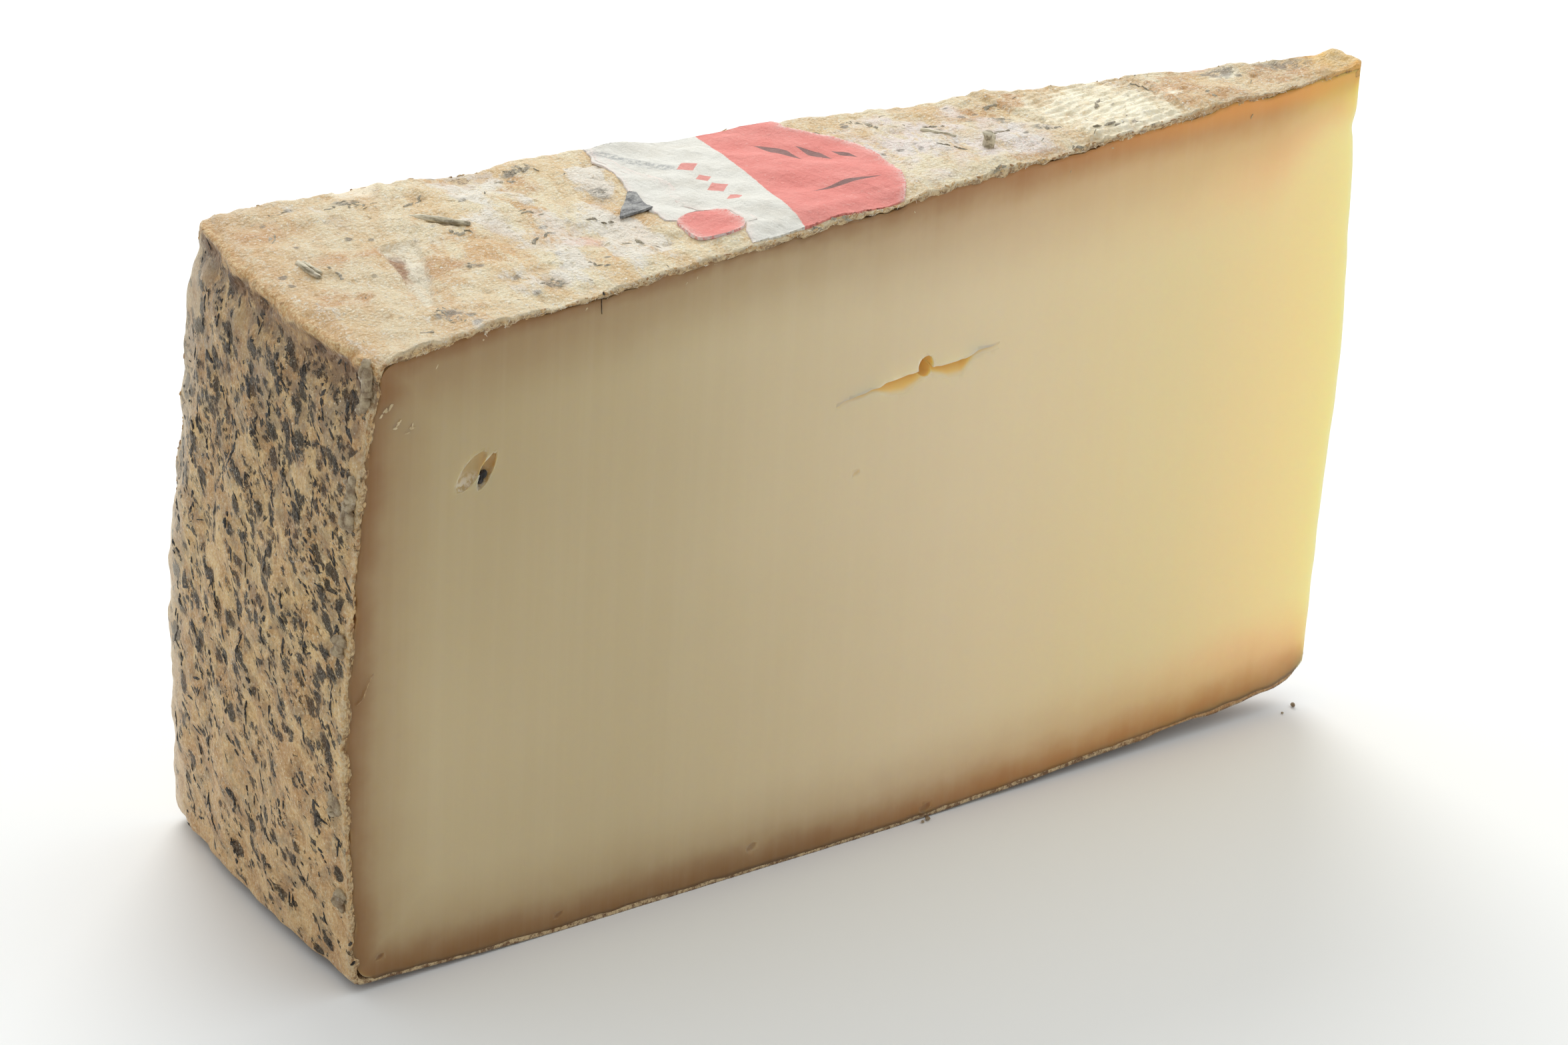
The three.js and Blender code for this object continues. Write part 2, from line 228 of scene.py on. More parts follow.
def rindOutline():
    # reach and height, from the tip's upper edge over the top, down the rim and along the underside
    toeTop = (float(tipReach(wheel["toeHeight"])), wheel["toeHeight"])
    crownFoot = wheel["axisHeight"] - wheel["crownEdge"]
    shoulder = (float(rimReach(rimTop)), rimTop)
    heel = (float(rimReach(wheel["foot"])), wheel["foot"])
    over = np.linspace(wheel["crownEdge"], shoulder[0] - wheel["shoulder"], 400)
    down = np.linspace(rimTop - wheel["shoulder"], wheel["foot"] + wheel["heel"], 300)
    under = np.linspace(heel[0] - wheel["heel"], wheel["toeLength"], 400)
    top = np.stack([over, topHeight(over)], axis=1)
    rim = np.stack([rimReach(down), down], axis=1)
    base = np.stack([under, underHeight(under)], axis=1)
    return np.concatenate([
        cornerCurve((tipReach(crownFoot), crownFoot), (0.9, topHeight(0.9)), top[0], 8)[:-1],
        top,
        cornerCurve(top[-1], shoulder, rim[0], 12)[1:-1],
        rim,
        cornerCurve(rim[-1], heel, base[0], 10)[1:-1],
        base,
        cornerCurve(base[-1], (1, 4.2), toeTop, 12)[1:],
    ])


# Meshes
def boxGrid(along, acrossOver, acrossUnder, up):
    # a unit box whose edges are cut evenly along x, along y above and below, and along z
    bm = bmesh.new()
    bmesh.ops.create_cube(bm, size=1)

    def edgesAlong(axis, side=0):
        found = []
        for edge in bm.edges:
            way = edge.verts[1].co - edge.verts[0].co
            if abs(way[axis]) > 0.99 * way.length and edge.verts[0].co.z * side >= 0:
                found.append(edge)
        return found

    bmesh.ops.subdivide_edges(bm, edges=edgesAlong(0), cuts=along)
    if acrossOver == acrossUnder:
        bmesh.ops.subdivide_edges(bm, edges=edgesAlong(1), cuts=acrossOver)
    else:
        bmesh.ops.subdivide_edges(bm, edges=edgesAlong(1, 1), cuts=acrossOver)
        bmesh.ops.subdivide_edges(bm, edges=edgesAlong(1, -1), cuts=acrossUnder)
    if up:
        bmesh.ops.subdivide_edges(bm, edges=edgesAlong(2), cuts=up)
    return bm


def readPoints(mesh):
    points = np.zeros(len(mesh.vertices) * 3)
    mesh.vertices.foreach_get("co", points)
    return points.reshape(-1, 3)


def writePoints(mesh, points):
    mesh.vertices.foreach_set("co", np.asarray(points, float).ravel())
    mesh.update()


def addMasks(mesh, **masks):
    for name, values in masks.items():
        layer = mesh.attributes.new(name, "FLOAT", "POINT")
        layer.data.foreach_set("value", np.asarray(values, np.float32))


def meshFrom(bm, name):
    mesh = bpy.data.meshes.new(name)
    bm.to_mesh(mesh)
    bm.free()
    return mesh


def joinInto(whole, part):
    mesh = bpy.data.meshes.new("part")
    part.to_mesh(mesh)
    part.free()
    whole.from_mesh(mesh)
    bpy.data.meshes.remove(mesh)


def faceOutwards(mesh):
    bm = bmesh.new()
    bm.from_mesh(mesh)
    bmesh.ops.recalc_face_normals(bm, faces=bm.faces[:])
    if bm.calc_volume(signed=True) < 0:
        bmesh.ops.reverse_faces(bm, faces=bm.faces[:])
    bm.to_mesh(mesh)
    bm.free()


def roundTemplate(detail):
    bm = bmesh.new()
    bmesh.ops.create_icosphere(bm, subdivisions=detail, radius=0.5)
    return meshFrom(bm, "lump%d" % detail)


def fibreTemplate():
    # a thin three-sided rod along x, tapered, cut along so that it can bend
    bm = bmesh.new()
    lying = Matrix.Rotation(math.radians(90), 4, "Y")
    bmesh.ops.create_cone(bm, cap_ends=True, segments=3, radius1=0.5, radius2=0.25, depth=1, matrix=lying)
    sides = [edge for edge in bm.edges if abs((edge.verts[0].co - edge.verts[1].co).x) > 0.5]
    bmesh.ops.subdivide_edges(bm, edges=sides, cuts=3)
    return meshFrom(bm, "fibre")


templates = {detail: roundTemplate(detail) for detail in (1, 2, 3, 4)}
templates["fibre"] = fibreTemplate()


def lumpInto(parts, centre, axes, size, rng, kind=2, uneven=0.12, bend=0.0):
    # one more lump or fibre, long along its first axis, its surface jittered
    mesh = templates[kind]
    points = readPoints(mesh)
    points *= 1 + rng.uniform(-uneven, uneven, (len(points), 1))
    points[:, 1] += bend * points[:, 0] ** 2
    parts.append((mesh, centre + (points * size) @ np.asarray(axes)))


def gathered(parts, name):
    bm = bmesh.new()
    for mesh, _ in parts:
        bm.from_mesh(mesh)
    whole = meshFrom(bm, name)
    writePoints(whole, np.concatenate([points for _, points in parts]) * mm)
    return whole


def spansOf(rng, *spans):
    return tuple(rng.uniform(*span) for span in spans)


def laidOn(tree, point, axes, sink):
    # the nearest place on the skin below a point, and the axes laid along it
    place, out, _, _ = tree.find_nearest(Vector(point) * mm)
    out = np.array(out)
    long = axes[0] - (axes[0] @ out) * out
    long /= np.linalg.norm(long)
    return np.array(place) / mm - sink * out, [long, np.cross(out, long), out]


def addPiece(name, mesh, material, slot, nodes=(), smooth=True):
    piece = bpy.data.objects.new(name, mesh)
    bpy.context.scene.collection.objects.link(piece)
    mesh.materials.clear()
    mesh.materials.append(material)
    mesh.polygons.foreach_set("use_smooth", np.full(len(mesh.polygons), smooth))
    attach(piece, body)
    if nodes:
        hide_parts(*nodes)
    return piece


# Shader nodes
def colour(red, green, blue):
    # a colour as it looks on screen, from 0 to 255, as the light it stands for
    values = [v / 255 for v in (red, green, blue)]
    linear = [v / 12.92 if v <= 0.04045 else ((v + 0.055) / 1.055) ** 2.4 for v in values]
    return (*linear, 1)


current = {"tree": None}  # the node tree that is being filled


def feed(socket, value):
    # a value set on a socket, or the link that brings it
    if isinstance(value, bpy.types.NodeSocket):
        current["tree"].links.new(value, socket)
    else:
        socket.default_value = value


def put(kind, inputs=(), **settings):
    node = current["tree"].nodes.new(kind)
    for key, value in settings.items():
        setattr(node, key, value)
    for key, value in dict(inputs).items():
        feed(node.inputs[key], value)
    return node


def mixed(share, first, second):
    return put("ShaderNodeMix", {0: share, 6: first, 7: second}, data_type="RGBA").outputs[2]


def between(share, first, second):
    # one tint turning into another
    return mixed(share, colour(*first), colour(*second))


def tinted(skin, tint, share, strength=1.0):
    # a tint laid over what is there
    if strength < 1:
        share = times(share, strength)
    return mixed(share, skin, colour(*tint))


def worked(operation, first, second=0.0, clamp=False):
    node = put("ShaderNodeMath", {0: first, 1: second}, operation=operation, use_clamp=clamp)
    return node.outputs[0]


def times(first, second):
    return worked("MULTIPLY", first, second)


def plus(first, second):
    return worked("ADD", first, second)


def minus(first, second):
    return worked("SUBTRACT", first, second)


def ranged(value, low, high, start=0.0, end=1.0):
    # a soft step of a value from low to high
    inputs = {"Value": value, "From Min": low, "From Max": high, "To Min": start, "To Max": end}
    return put("ShaderNodeMapRange", inputs, interpolation_type="SMOOTHSTEP").outputs[0]


def scaleFor(size):
    # the scale of a texture whose cells are about this size
    return worked("DIVIDE", 1.0, size) if isinstance(size, bpy.types.NodeSocket) else 1 / size


def noise(place, size, detail=3.0, rough=0.55, warp=0.0, output="Fac"):
    inputs = {"Vector": place, "Scale": scaleFor(size), "Detail": detail, "Roughness": rough, "Distortion": warp}
    return put("ShaderNodeTexNoise", inputs).outputs[output]


def cellsOf(place, size):
    return put("ShaderNodeTexVoronoi", {"Vector": place, "Scale": scaleFor(size)}).outputs


def mask(name):
    return put("ShaderNodeAttribute", attribute_name=name).outputs["Fac"]


def axisOf(place, name):
    return put("ShaderNodeSeparateXYZ", {"Vector": place}).outputs[name]


def inMillimetres(turn=(0, 0, 0), stretch=(1, 1, 1)):
    # object coordinates in millimetres, turned, then squeezed by the stretch
    place = put("ShaderNodeTexCoord").outputs["Object"]
    if any(turn):
        place = put("ShaderNodeMapping", {"Vector": place, "Rotation": turn}).outputs[0]
    scale = tuple(1 / mm / s for s in stretch)
    return put("ShaderNodeMapping", {"Vector": place, "Scale": scale}).outputs[0]


def bumped(height, strength, depth):
    return put("ShaderNodeBump", {"Height": height, "Strength": strength, "Distance": depth * mm}).outputs[0]


def newMaterial(name):
    material = bpy.data.materials.new(name)
    material.use_nodes = True
    current["tree"] = material.node_tree
    return material, material.node_tree.nodes["Principled BSDF"]


def finish(shader, inputs):
    for key, value in inputs.items():
        feed(shader.inputs[key], value)


def newGroup(name, inputs, outputs):
    group = bpy.data.node_groups.new(name, "ShaderNodeTree")
    current["tree"] = group
    for label, kind, value in inputs:
        socket = group.interface.new_socket(label, in_out="INPUT", socket_type="NodeSocket" + kind)
        if value is not None:
            socket.default_value = value
    for label, kind in outputs:
        group.interface.new_socket(label, in_out="OUTPUT", socket_type="NodeSocket" + kind)
    return group, put("NodeGroupInput").outputs, put("NodeGroupOutput")


def grouped(group, inputs):
    return put("ShaderNodeGroup", inputs, node_tree=group).outputs


# White bloom that lies on rind, herbs and crust alike: soft clouds broken into fine grains
def bloomGroup():
    group, given, out = newGroup(
        "mouldBloom",
        [("Place", "Vector", None), ("Cover", "Float", 0.4), ("Cloud", "Float", 6.0)],
        [("Mask", "Float"), ("Height", "Float")],
    )
    clouds = noise(given["Place"], given["Cloud"], 4, 0.6)
    fine = noise(given["Place"], 0.55, 4, 0.75)
    both = plus(times(clouds, 0.6), times(fine, 0.4))
    edge = minus(0.72, times(given["Cover"], 0.44))
    share = worked("MULTIPLY", minus(both, edge), 9.0, clamp=True)
    feed(out.inputs["Mask"], share)
    feed(out.inputs["Height"], times(share, fine))
    return group


# Fine grains that catch the light, for anything moist
def grainGroup():
    group, given, out = newGroup(
        "moistGrain",
        [("Place", "Vector", None), ("Size", "Float", 0.5)],
        [("Height", "Float"), ("Gloss", "Float")],
    )
    cells = cellsOf(given["Place"], given["Size"])["Distance"]
    rough = noise(given["Place"], given["Size"], 5, 0.7)
    feed(out.inputs["Height"], plus(times(cells, -0.7), rough))
    feed(out.inputs["Gloss"], ranged(rough, 0.42, 0.62))
    return group


bloom = bloomGroup()
grain = grainGroup()

# Rind: the shell round the paste
rind = {
    "stepsTop": 356,
    "stepsRim": 208,
    "stepsUnder": 130,
    "columns": 112,
    "innerColumns": 12,
    "layers": 3,
    "depthTop": 0.9,
    "depthRim": 0.75,
    "depthUnder": 0.65,
    "overhang": 0.36,
    "patchEdge": 0.55,
    "ridgeFrom": 29,
    "ridgeTo": 51,
    "ridgePitch": 1.25,
}
scar = {"top": 4.0, "bottom": -15.3, "depth": 0.5, "left": -60.9, "lean": 2.5, "width": 4.4}
chip = {"x": -57.4, "y": 24.6, "length": 7.5, "width": 4.6, "depth": 2.1}
tipLumps = [(76.4, 1.1, 2.1, 1.1), (78.9, -1.1, 1.6, 0.7)]  # x, y, size and rise
creases = [(30.6, -0.42), (48.2, -0.14)]  # x and lean
reliefs = {  # height, size and seed of every layer
    "fuzz": [(0.12, 2.3, 3), (0.15, 1.1, 4), (0.10, 0.62, 5)],
    "brushed": [(0.18, 2.6, 6), (0.15, 1.2, 7)],
    "wander": [(0.35, 7, 8), (0.18, 2.4, 13)],
    "knobs": [(0.4, 2.6, 10), (0.25, 1.3, 11)],
    "rimFine": [(0.13, 1.5, 21), (0.12, 0.8, 22)],
    "rimLumps": [(0.12, 3.1, 23), (0.10, 1.4, 25)],
    "cutEdge": [(0.16, 0.7, 52), (0.12, 1.6, 53)],
}
patches = {  # x, y, length and width of each
    "brown": [
        (-70.5, 17, 5, 4), (-66, 3, 6, 3), (-38, 12.5, 3.5, 3), (52.5, 2, 5.5, 9), (57, -4.6, 6, 2.2),
        (69.5, -0.8, 6, 2.2), (66, 2, 3, 2), (24, -9.6, 5, 1.2), (23.5, 4.5, 5, 4), (30, 6.5, 3, 3),
        (-57, -6, 4, 3), (-70, -8, 4, 5), (-20, -19.5, 6, 1.6),
    ],
    "grey": [
        (60.6, 3.8, 3.6, 2.1), (70.4, 2.6, 5.0, 2.6), (26.4, 1.0, 1.8, 1.6), (21.5, 2.6, 1.6, 1.4),
        (29, -3.4, 1.8, 1.6), (-58.4, 18.2, 3.6, 1.6), (-36, 16.2, 2.8, 1.2), (-62.5, -18.5, 2.4, 1.4),
        (-47.4, -16.4, 2.4, 1.6), (-53.8, -7.2, 1.2, 1.0), (-30, 5.5, 2.5, 2.5),
    ],
    "white": [(-42.5, 4, 6.5, 26), (-34, -8, 5, 14), (-50, -14, 4, 6), (-29.5, 10, 3, 6), (-60, -2, 1.6, 8)],
    "cream": [(39.5, -2, 11, 12), (61, 2.2, 3, 1.6), (-55.5, 22, 5, 2.5)],
    "pink": [(14, 0, 12, 11), (22, -5, 9, 6)],
    "rose": [(60.4, 6.4, 3.4, 1.6), (-38.3, -7.1, 3.6, 2.4)],
}


def patchShare(kind, points):
    # one where the points lie in a patch of that kind, with ragged edges
    seed = 160 + 4 * list(patches).index(kind)
    uneven = grains(points * (1, 1, 0), 3.2, seed) * 0.45
    total = np.zeros(len(points))
    for x, y, long, wide in patches[kind]:
        away = np.hypot((points[:, 0] - x) / long, (points[:, 1] - y) / wide) + uneven
        total = np.maximum(total, 1 - smoothStep(away, 1 - rind["patchEdge"], 1))
    return total


def scarShares(x, y):
    # how deep the scar is, its brown floor and the flaky strip right of it
    down = np.clip((scar["top"] - y) / (scar["top"] - scar["bottom"]), 0, 1)
    left = scar["left"] - scar["lean"] * down**1.3
    width = scar["width"] * (1 - down) ** 0.8 + 0.1
    inside = smoothStep(x, left - 0.15, left + 0.25) * (1 - smoothStep(x, left + width, left + width + 0.9))
    inside = inside * smoothStep(y, scar["bottom"], scar["bottom"] + 1.5)
    inside = inside * (1 - smoothStep(y, scar["top"] - 0.6, scar["top"] + 0.7))
    jagged = 0.5 * grains(rowsOf(y, x * 0.3), 1.4, 18)
    floor = (1 - smoothStep(x + jagged, left + 0.38 * width, left + 0.50 * width + 0.1)) * inside
    return inside, floor * smoothStep(y, -9, -4) * (1 - smoothStep(y, 1.6, 2.6))


def underLabel(x, y):
    # one where the label or its scrap lies on the rind
    away = np.hypot(x - label["spotX"], y - label["spotY"])
    inSpot = 1 - smoothStep(away, label["radius"] - 0.6, label["radius"] + 0.2)
    toLeft = outlineBy(label["backing"])(y)
    white = smoothStep(x, toLeft - 0.2, toLeft + 0.6) * (1 - smoothStep(x, -8, -6)) * smoothStep(y, -14.5, -13.5)
    onScrap = np.maximum(np.abs(x - scrap["x"]) / scrap["length"], np.abs(y - scrap["y"]) / scrap["width"])
    return np.maximum(np.maximum(inSpot, white), 1 - smoothStep(onScrap, 0.48, 0.54))


def chipShare(x, y):
    away = np.hypot((x - chip["x"]) / chip["length"], (y - chip["y"]) / chip["width"]) * 2
    return 1 - smoothStep(away, 0.45, 1.0)


def topRelief(points, reach):
    # millimetres above the plain top rind, and how far the chip at the back edge goes down
    x, y = points[:, 0], points[:, 1]
    flat = points * (1, 1, 0)
    brushed = lumpy(rowsOf(reach, y * 0.22), *reliefs["brushed"])
    ridged = smoothStep(x, rind["ridgeFrom"], rind["ridgeFrom"] + 5)
    ridged = ridged * (1 - smoothStep(x, rind["ridgeTo"] - 5, rind["ridgeTo"] + 3))
    wander = lumpy(flat, *reliefs["wander"])
    along = y - (x - 40) * math.tan(halfAngle)
    beads = 0.75 + 0.25 * np.sin(2 * np.pi * (x + 2 * wander) / 2.3)
    ridges = 0.15 * np.sin(2 * np.pi * (along + wander) / rind["ridgePitch"]) * ridged * beads
    pits = -0.30 * smoothStep(softNoise(flat, 1.7, 9), 0.6, 0.9)
    plates = 0.20 * smoothStep(grains(flat, 6.5, 14), 0.05, 0.22)
    knobs = lumpy(points, *reliefs["knobs"]) * (1 - smoothStep(reach, 3, 12))
    for lumpX, lumpY, size, rise in tipLumps:
        knobs += rise * np.exp(-(((x - lumpX) / size) ** 2) - ((y - lumpY) / 1.4) ** 2)

    # the scar, the worn back edge, the wrinkles left of the label and two creases
    inside, floor = scarShares(x, y)
    marks = (inside - floor) * 0.35 * softNoise(flat, 0.8, 12) - 0.35 * floor
    backEdge = smoothStep(y, 0.72 * reach * math.sin(halfAngle), reach * math.sin(halfAngle))
    backEdge = backEdge * smoothStep(softNoise(flat, 4.5, 15), -0.1, 0.5) * smoothStep(-x, -10, 20)
    wrinkled = np.exp(-(((x + 31) / 7) ** 2) - ((y - 4) / 9) ** 2)
    marks += 0.26 * wrinkled * softNoise(rowsOf(x - 0.3 * y, 0.4 * y), 0.85, 16)
    for creaseX, lean in creases:
        away = x - creaseX - lean * y + 0.35 * softNoise(flat, 3.0, 17)
        marks += 0.22 * np.exp(-((away - 0.7) ** 2) / 0.3) - 0.32 * np.exp(-(away**2) / 0.25)
    relief = (lumpy(flat, *reliefs["fuzz"]) + plates + brushed * (1 - ridged)) * (1 - 0.8 * inside)
    relief = (relief + ridges + pits + marks) * (1 - 0.85 * underLabel(x, y))
    return relief + knobs - scar["depth"] * inside - 0.4 * backEdge, chip["depth"] * chipShare(x, y)


def rimRelief(points):
    x, y, z = points.T
    turn = math.radians(40)
    along = -math.sin(turn) * y - math.cos(turn) * z
    aside = math.cos(turn) * y - math.sin(turn) * z
    below = rimTop - z + 0.6 * softNoise(points * (0, 1, 0), 6, 26)
    uneven = 0.6 + 0.8 * softNoise(points, 2.4, 24)
    lip = 0.8 * hump(below, 1.0, 0.55) * uneven
    under = -0.8 * hump(below, 2.7, 0.9) * uneven
    fine = lumpy(rowsOf(aside, along / 2.2), *reliefs["rimFine"])
    return fine + lumpy(points, *reliefs["rimLumps"]) + lip + under


def rindDepth(reach, height, across, onTop, onRim):
    # how thick the rind is where the knife went through it
    base = rind["depthTop"] * onTop + rind["depthRim"] * onRim + rind["depthUnder"] * (1 - onTop - onRim)
    place = rowsOf(reach, height, across * 9)
    coarse = 0.26 * softNoise(place, 2.6, 31)
    fine = 0.34 * softNoise(place, 1.1, 32) * (onTop + onRim)
    nearTip = 1 - (0.45 * (1 - smoothStep(reach, 4, 40)) + 0.38 * (1 - smoothStep(reach, 0, 9))) * onTop
    return base * (1 + coarse + fine) * nearTip


def buildRind(material):
    outline = rindOutline()
    steps = np.linalg.norm(np.diff(outline, axis=0), axis=1)
    length = np.concatenate([[0], np.cumsum(steps)])
    topEnd = length[np.argmax(outline[:, 0] > rimRadius - 6)]
    rimEnd = length[len(outline) - 1 - np.argmax(outline[::-1, 0] > rimRadius - 5)]
    stations = np.concatenate([
        np.linspace(0, topEnd, rind["stepsTop"], endpoint=False),
        np.linspace(topEnd, rimEnd, rind["stepsRim"], endpoint=False),
        np.linspace(rimEnd, length[-1], rind["stepsUnder"]),
    ])
    reachAt = np.interp(stations, length, outline[:, 0])
    heightAt = np.interp(stations, length, outline[:, 1])
    way = np.stack([np.gradient(reachAt), np.gradient(heightAt)], axis=1)
    way /= np.linalg.norm(way, axis=1)[:, None]
    outAt = np.stack([-way[:, 1], way[:, 0]], axis=1)

    bm = boxGrid(len(stations) - 2, rind["columns"] - 1, rind["innerColumns"] - 1, rind["layers"] - 1)
    mesh = meshFrom(bm, "rind")
    unit = readPoints(mesh)
    station = np.rint((unit[:, 0] + 0.5) * (len(stations) - 1)).astype(int)
    across = 2 * unit[:, 1]
    outer = unit[:, 2] + 0.5

    reach, height = reachAt[station], heightAt[station]
    out = outAt[station]
    onTop = smoothStep(out[:, 1], 0.45, 0.75)
    onRim = smoothStep(out[:, 0], 0.55, 0.8)
    lift = skinLift(reach, height, across)
    plain = onWedge(reach, height, across)
    relief, chipped = topRelief(plain, reach)
    relief = onTop * relief + onRim * rimRelief(plain) * smoothStep(height, 0.5, 3)
    depth = rindDepth(reach, height, across, onTop, onRim)
    shallow = smoothStep(np.abs(across), 0.95, 0.995)
    relief += shallow * np.maximum(0, 0.28 - depth - relief)
    lift += relief - chipped * onTop
    onUnder = np.clip(1 - onTop - onRim, 0, 1)
    lift += onUnder * 0.12 * softNoise(plain, 1.9, 41) * smoothStep(height, 0.15, 1.5)
    drag = edgeDrag(reach, across) * smoothStep(out[:, 1], 0.5, 1)
    offset = lift * outer - depth * (1 - outer)
    newReach = reach + out[:, 0] * offset
    newReach += paste["tipRound"] * across**4 * (1 - smoothStep(reach, 0.5, 4))
    newHeight = np.maximum(0, height + out[:, 1] * offset - drag)
    points = onWedge(newReach, newHeight, across)

    # the crust stands a little past the cut, ragged, and tucks in under itself
    edge = np.abs(across) > 0.999
    torn = 0.15 + 0.85 * smoothStep(grains(rowsOf(reach, height, across), 2.0, 51), -0.4, 0.7)
    profile = np.interp(outer, [0, 0.34, 0.67, 1], [-0.5, 0.55, 1, 0.6])
    past = rind["overhang"] * torn * profile * (onTop + 0.55 * onRim + 0.2 * onUnder)
    past += lumpy(points, *reliefs["cutEdge"]) * (onTop + onRim)
    past *= 0.3 + 0.7 * smoothStep(reach, 2, 14)
    points[:, 1] += edge * np.sign(across) * past * math.cos(halfAngle)
    points[:, 0] += edge * past * math.sin(halfAngle)
    points[:, 2] = np.maximum(points[:, 2], 0)
    writePoints(mesh, points * mm)
    faceOutwards(mesh)

    inside, floor = scarShares(plain[:, 0], plain[:, 1])
    halfWidth = reach * math.sin(halfAngle) + 1.5
    glow = (1 - smoothStep(reach, 5, 10)) * (0.85 + 0.5 * softNoise(plain, 2.2, 55))
    addMasks(
        mesh,
        onRim=onRim,
        onUnder=onUnder,
        nearCut=1 - smoothStep((1 - np.abs(across)) * halfWidth, 0.1, 1.6),
        cutSide=edge * (1 - outer),
        scarFloor=floor * onTop,
        scarFlakes=np.clip(inside - floor, 0, 1) * onTop,
        chip=chipShare(plain[:, 0], plain[:, 1]) * onTop,
        hollow=np.clip(-4 * relief, 0, 1) * outer,
        lipDrop=np.clip((rimTop - height) / 12, 0, 1),
        stain=herbStains(plain, onRim, onTop),
        tipGlow=np.clip(glow, 0, 1) * np.clip(onTop + onRim + (height > 50), 0, 1),
    )
    for kind in patches:
        addMasks(mesh, **{kind + "Patch": patchShare(kind, plain) * onTop})
    return addPiece("rind", mesh, material, "rind", ["cheese"])


# Paste: the cheese inside the rind
paste = {"along": 246, "up": 134, "columns": 7, "sink": 0.2, "inset": 1.6, "tipRound": 0.7}
crack = {
    "fromX": -6.0,
    "toX": 19.8,
    "height": 65,
    "depth": 2.5,
    "upper": [
        (-6.0, 62.8), (-2.9, 63.9), (1.7, 64.8), (6.6, 65.3), (11.8, 65.5), (14.4, 65.4), (16.5, 66.1), (19.8, 65.9),
    ],
    "lower": [
        (-6.0, 62.7), (-2.5, 63.4), (0.4, 63.6), (2.6, 63.1), (4.7, 62.8), (7.9, 64.1), (8.9, 64.6), (11.7, 63.5),
        (14.0, 63.4), (16, 65.2), (19.8, 65.8),
    ],
}
# x, height, distance out, lean, size, template, unevenness and bend of every lump
smallEye = [(8.1, 65.8, 0, 0, (2.5, 2.9, 6), 4, 0.03, 0)]
eyeLobes = [
    [(-60.9, 66.9, 0, 48, (6.0, 2.7, 1.2), 4, 0.045, 0)],
    [(-58.7, 66.5, 0, 62, (5.0, 1.7, 2.0), 4, 0.045, 0)],
]
eye = {"x": -60.5, "height": 66.8}
nicks = [
    (x, height, 0.1, 25, (size, size * 0.55, 0.7), 3, 0.05, 0)
    for x, height, size in (
        (-15.4, 3.7, 2.0), (-2.1, 53.3, 1.5), (13.2, 1.6, 2.2), (-45.4, 2.4, 1.6), (-72.1, 4.3, 1.4),
    )
]

frontTip = onWedge(0.0, 0.0, -1.0)
frontRim = onWedge(rimRadius, 0.0, -1.0)
frontAlong = (frontTip - frontRim) / np.linalg.norm(frontTip - frontRim)
frontUp = np.array([0.0, 0.0, 1.0])
frontOut = np.cross(frontAlong, frontUp)


def onFront(x, height, out=0.0):
    # points by their x, height and distance out of the front cut
    x, height, out = np.broadcast_arrays(np.asarray(x, float), height, out)
    share = (x - frontTip[0]) / frontAlong[0]
    return frontTip + share[..., None] * frontAlong + height[..., None] * frontUp + out[..., None] * frontOut


def crackCutter():
    # a slit that is deep under its sharp upper edge and runs out to nothing at its broken lower one
    mesh = meshFrom(boxGrid(70, 1, 1, 12), "crackCutter")
    unit = readPoints(mesh)
    fromX, toX = crack["fromX"], crack["toX"]
    x = fromX + (unit[:, 0] + 0.5) * (toX - fromX)
    upper = np.interp(x, *zip(*crack["upper"])) + 0.22 * softNoise(rowsOf(x), 1.1, 61)
    lower = np.interp(x, *zip(*crack["lower"])) + 0.30 * softNoise(rowsOf(x), 1.6, 62)
    upper = np.maximum(upper, lower + 0.12)
    up = unit[:, 2] + 0.5
    inward = unit[:, 1] + 0.5
    height = lower + (upper - lower) * up
    gap = np.clip((upper - lower) / 1.6, 0.15, 1)
    ends = smoothStep(x, fromX, fromX + 6) * (1 - smoothStep(x, toX - 5, toX))
    scoop = crack["depth"] * gap * (0.2 + 0.8 * ends) * up**1.5 + 0.12 * softNoise(rowsOf(x, height), 0.8, 63) * up
    out = np.where(inward > 0.6, -scoop - 0.02, 1.0)
    out = np.where(np.abs(inward - 0.5) < 0.2, 0.5 * (1.0 - scoop), out)
    bent = height + np.where(inward > 0.6, 0.5 * up, 0)
    writePoints(mesh, onFront(x, bent, out) * mm)
    faceOutwards(mesh)
    return mesh


def addLumps(name, parts, material, slot, smooth=True):
    addPiece(name, gathered(parts, name), material, slot, ["cheese"], smooth)


def frontAxes(lean):
    lean = math.radians(lean)
    first = math.cos(lean) * frontAlong + math.sin(lean) * frontUp
    return [first, np.cross(frontOut, first), frontOut]


def lumpsOnFront(name, rng, rows):
    parts = []
    for x, height, out, lean, size, kind, uneven, bend in rows:
        lumpInto(parts, onFront(x, height, out), frontAxes(lean), size, rng, kind, uneven, bend)
    return gathered(parts, name)


def cutAway(mesh, cutters):
    target = bpy.data.objects.new("cutting", mesh)
    bpy.context.scene.collection.objects.link(target)
    tools = []
    for cutter in cutters:
        tool = bpy.data.objects.new(cutter.name, cutter)
        bpy.context.scene.collection.objects.link(tool)
        modifier = target.modifiers.new(cutter.name, "BOOLEAN")
        modifier.object = tool
        modifier.operation = "DIFFERENCE"
        modifier.solver = "MANIFOLD"
        tools.append(tool)
    graph = bpy.context.evaluated_depsgraph_get()
    result = bpy.data.meshes.new_from_object(target.evaluated_get(graph))
    for used in (target, *tools):
        bpy.data.objects.remove(used)
    faceOutwards(result)
    return result


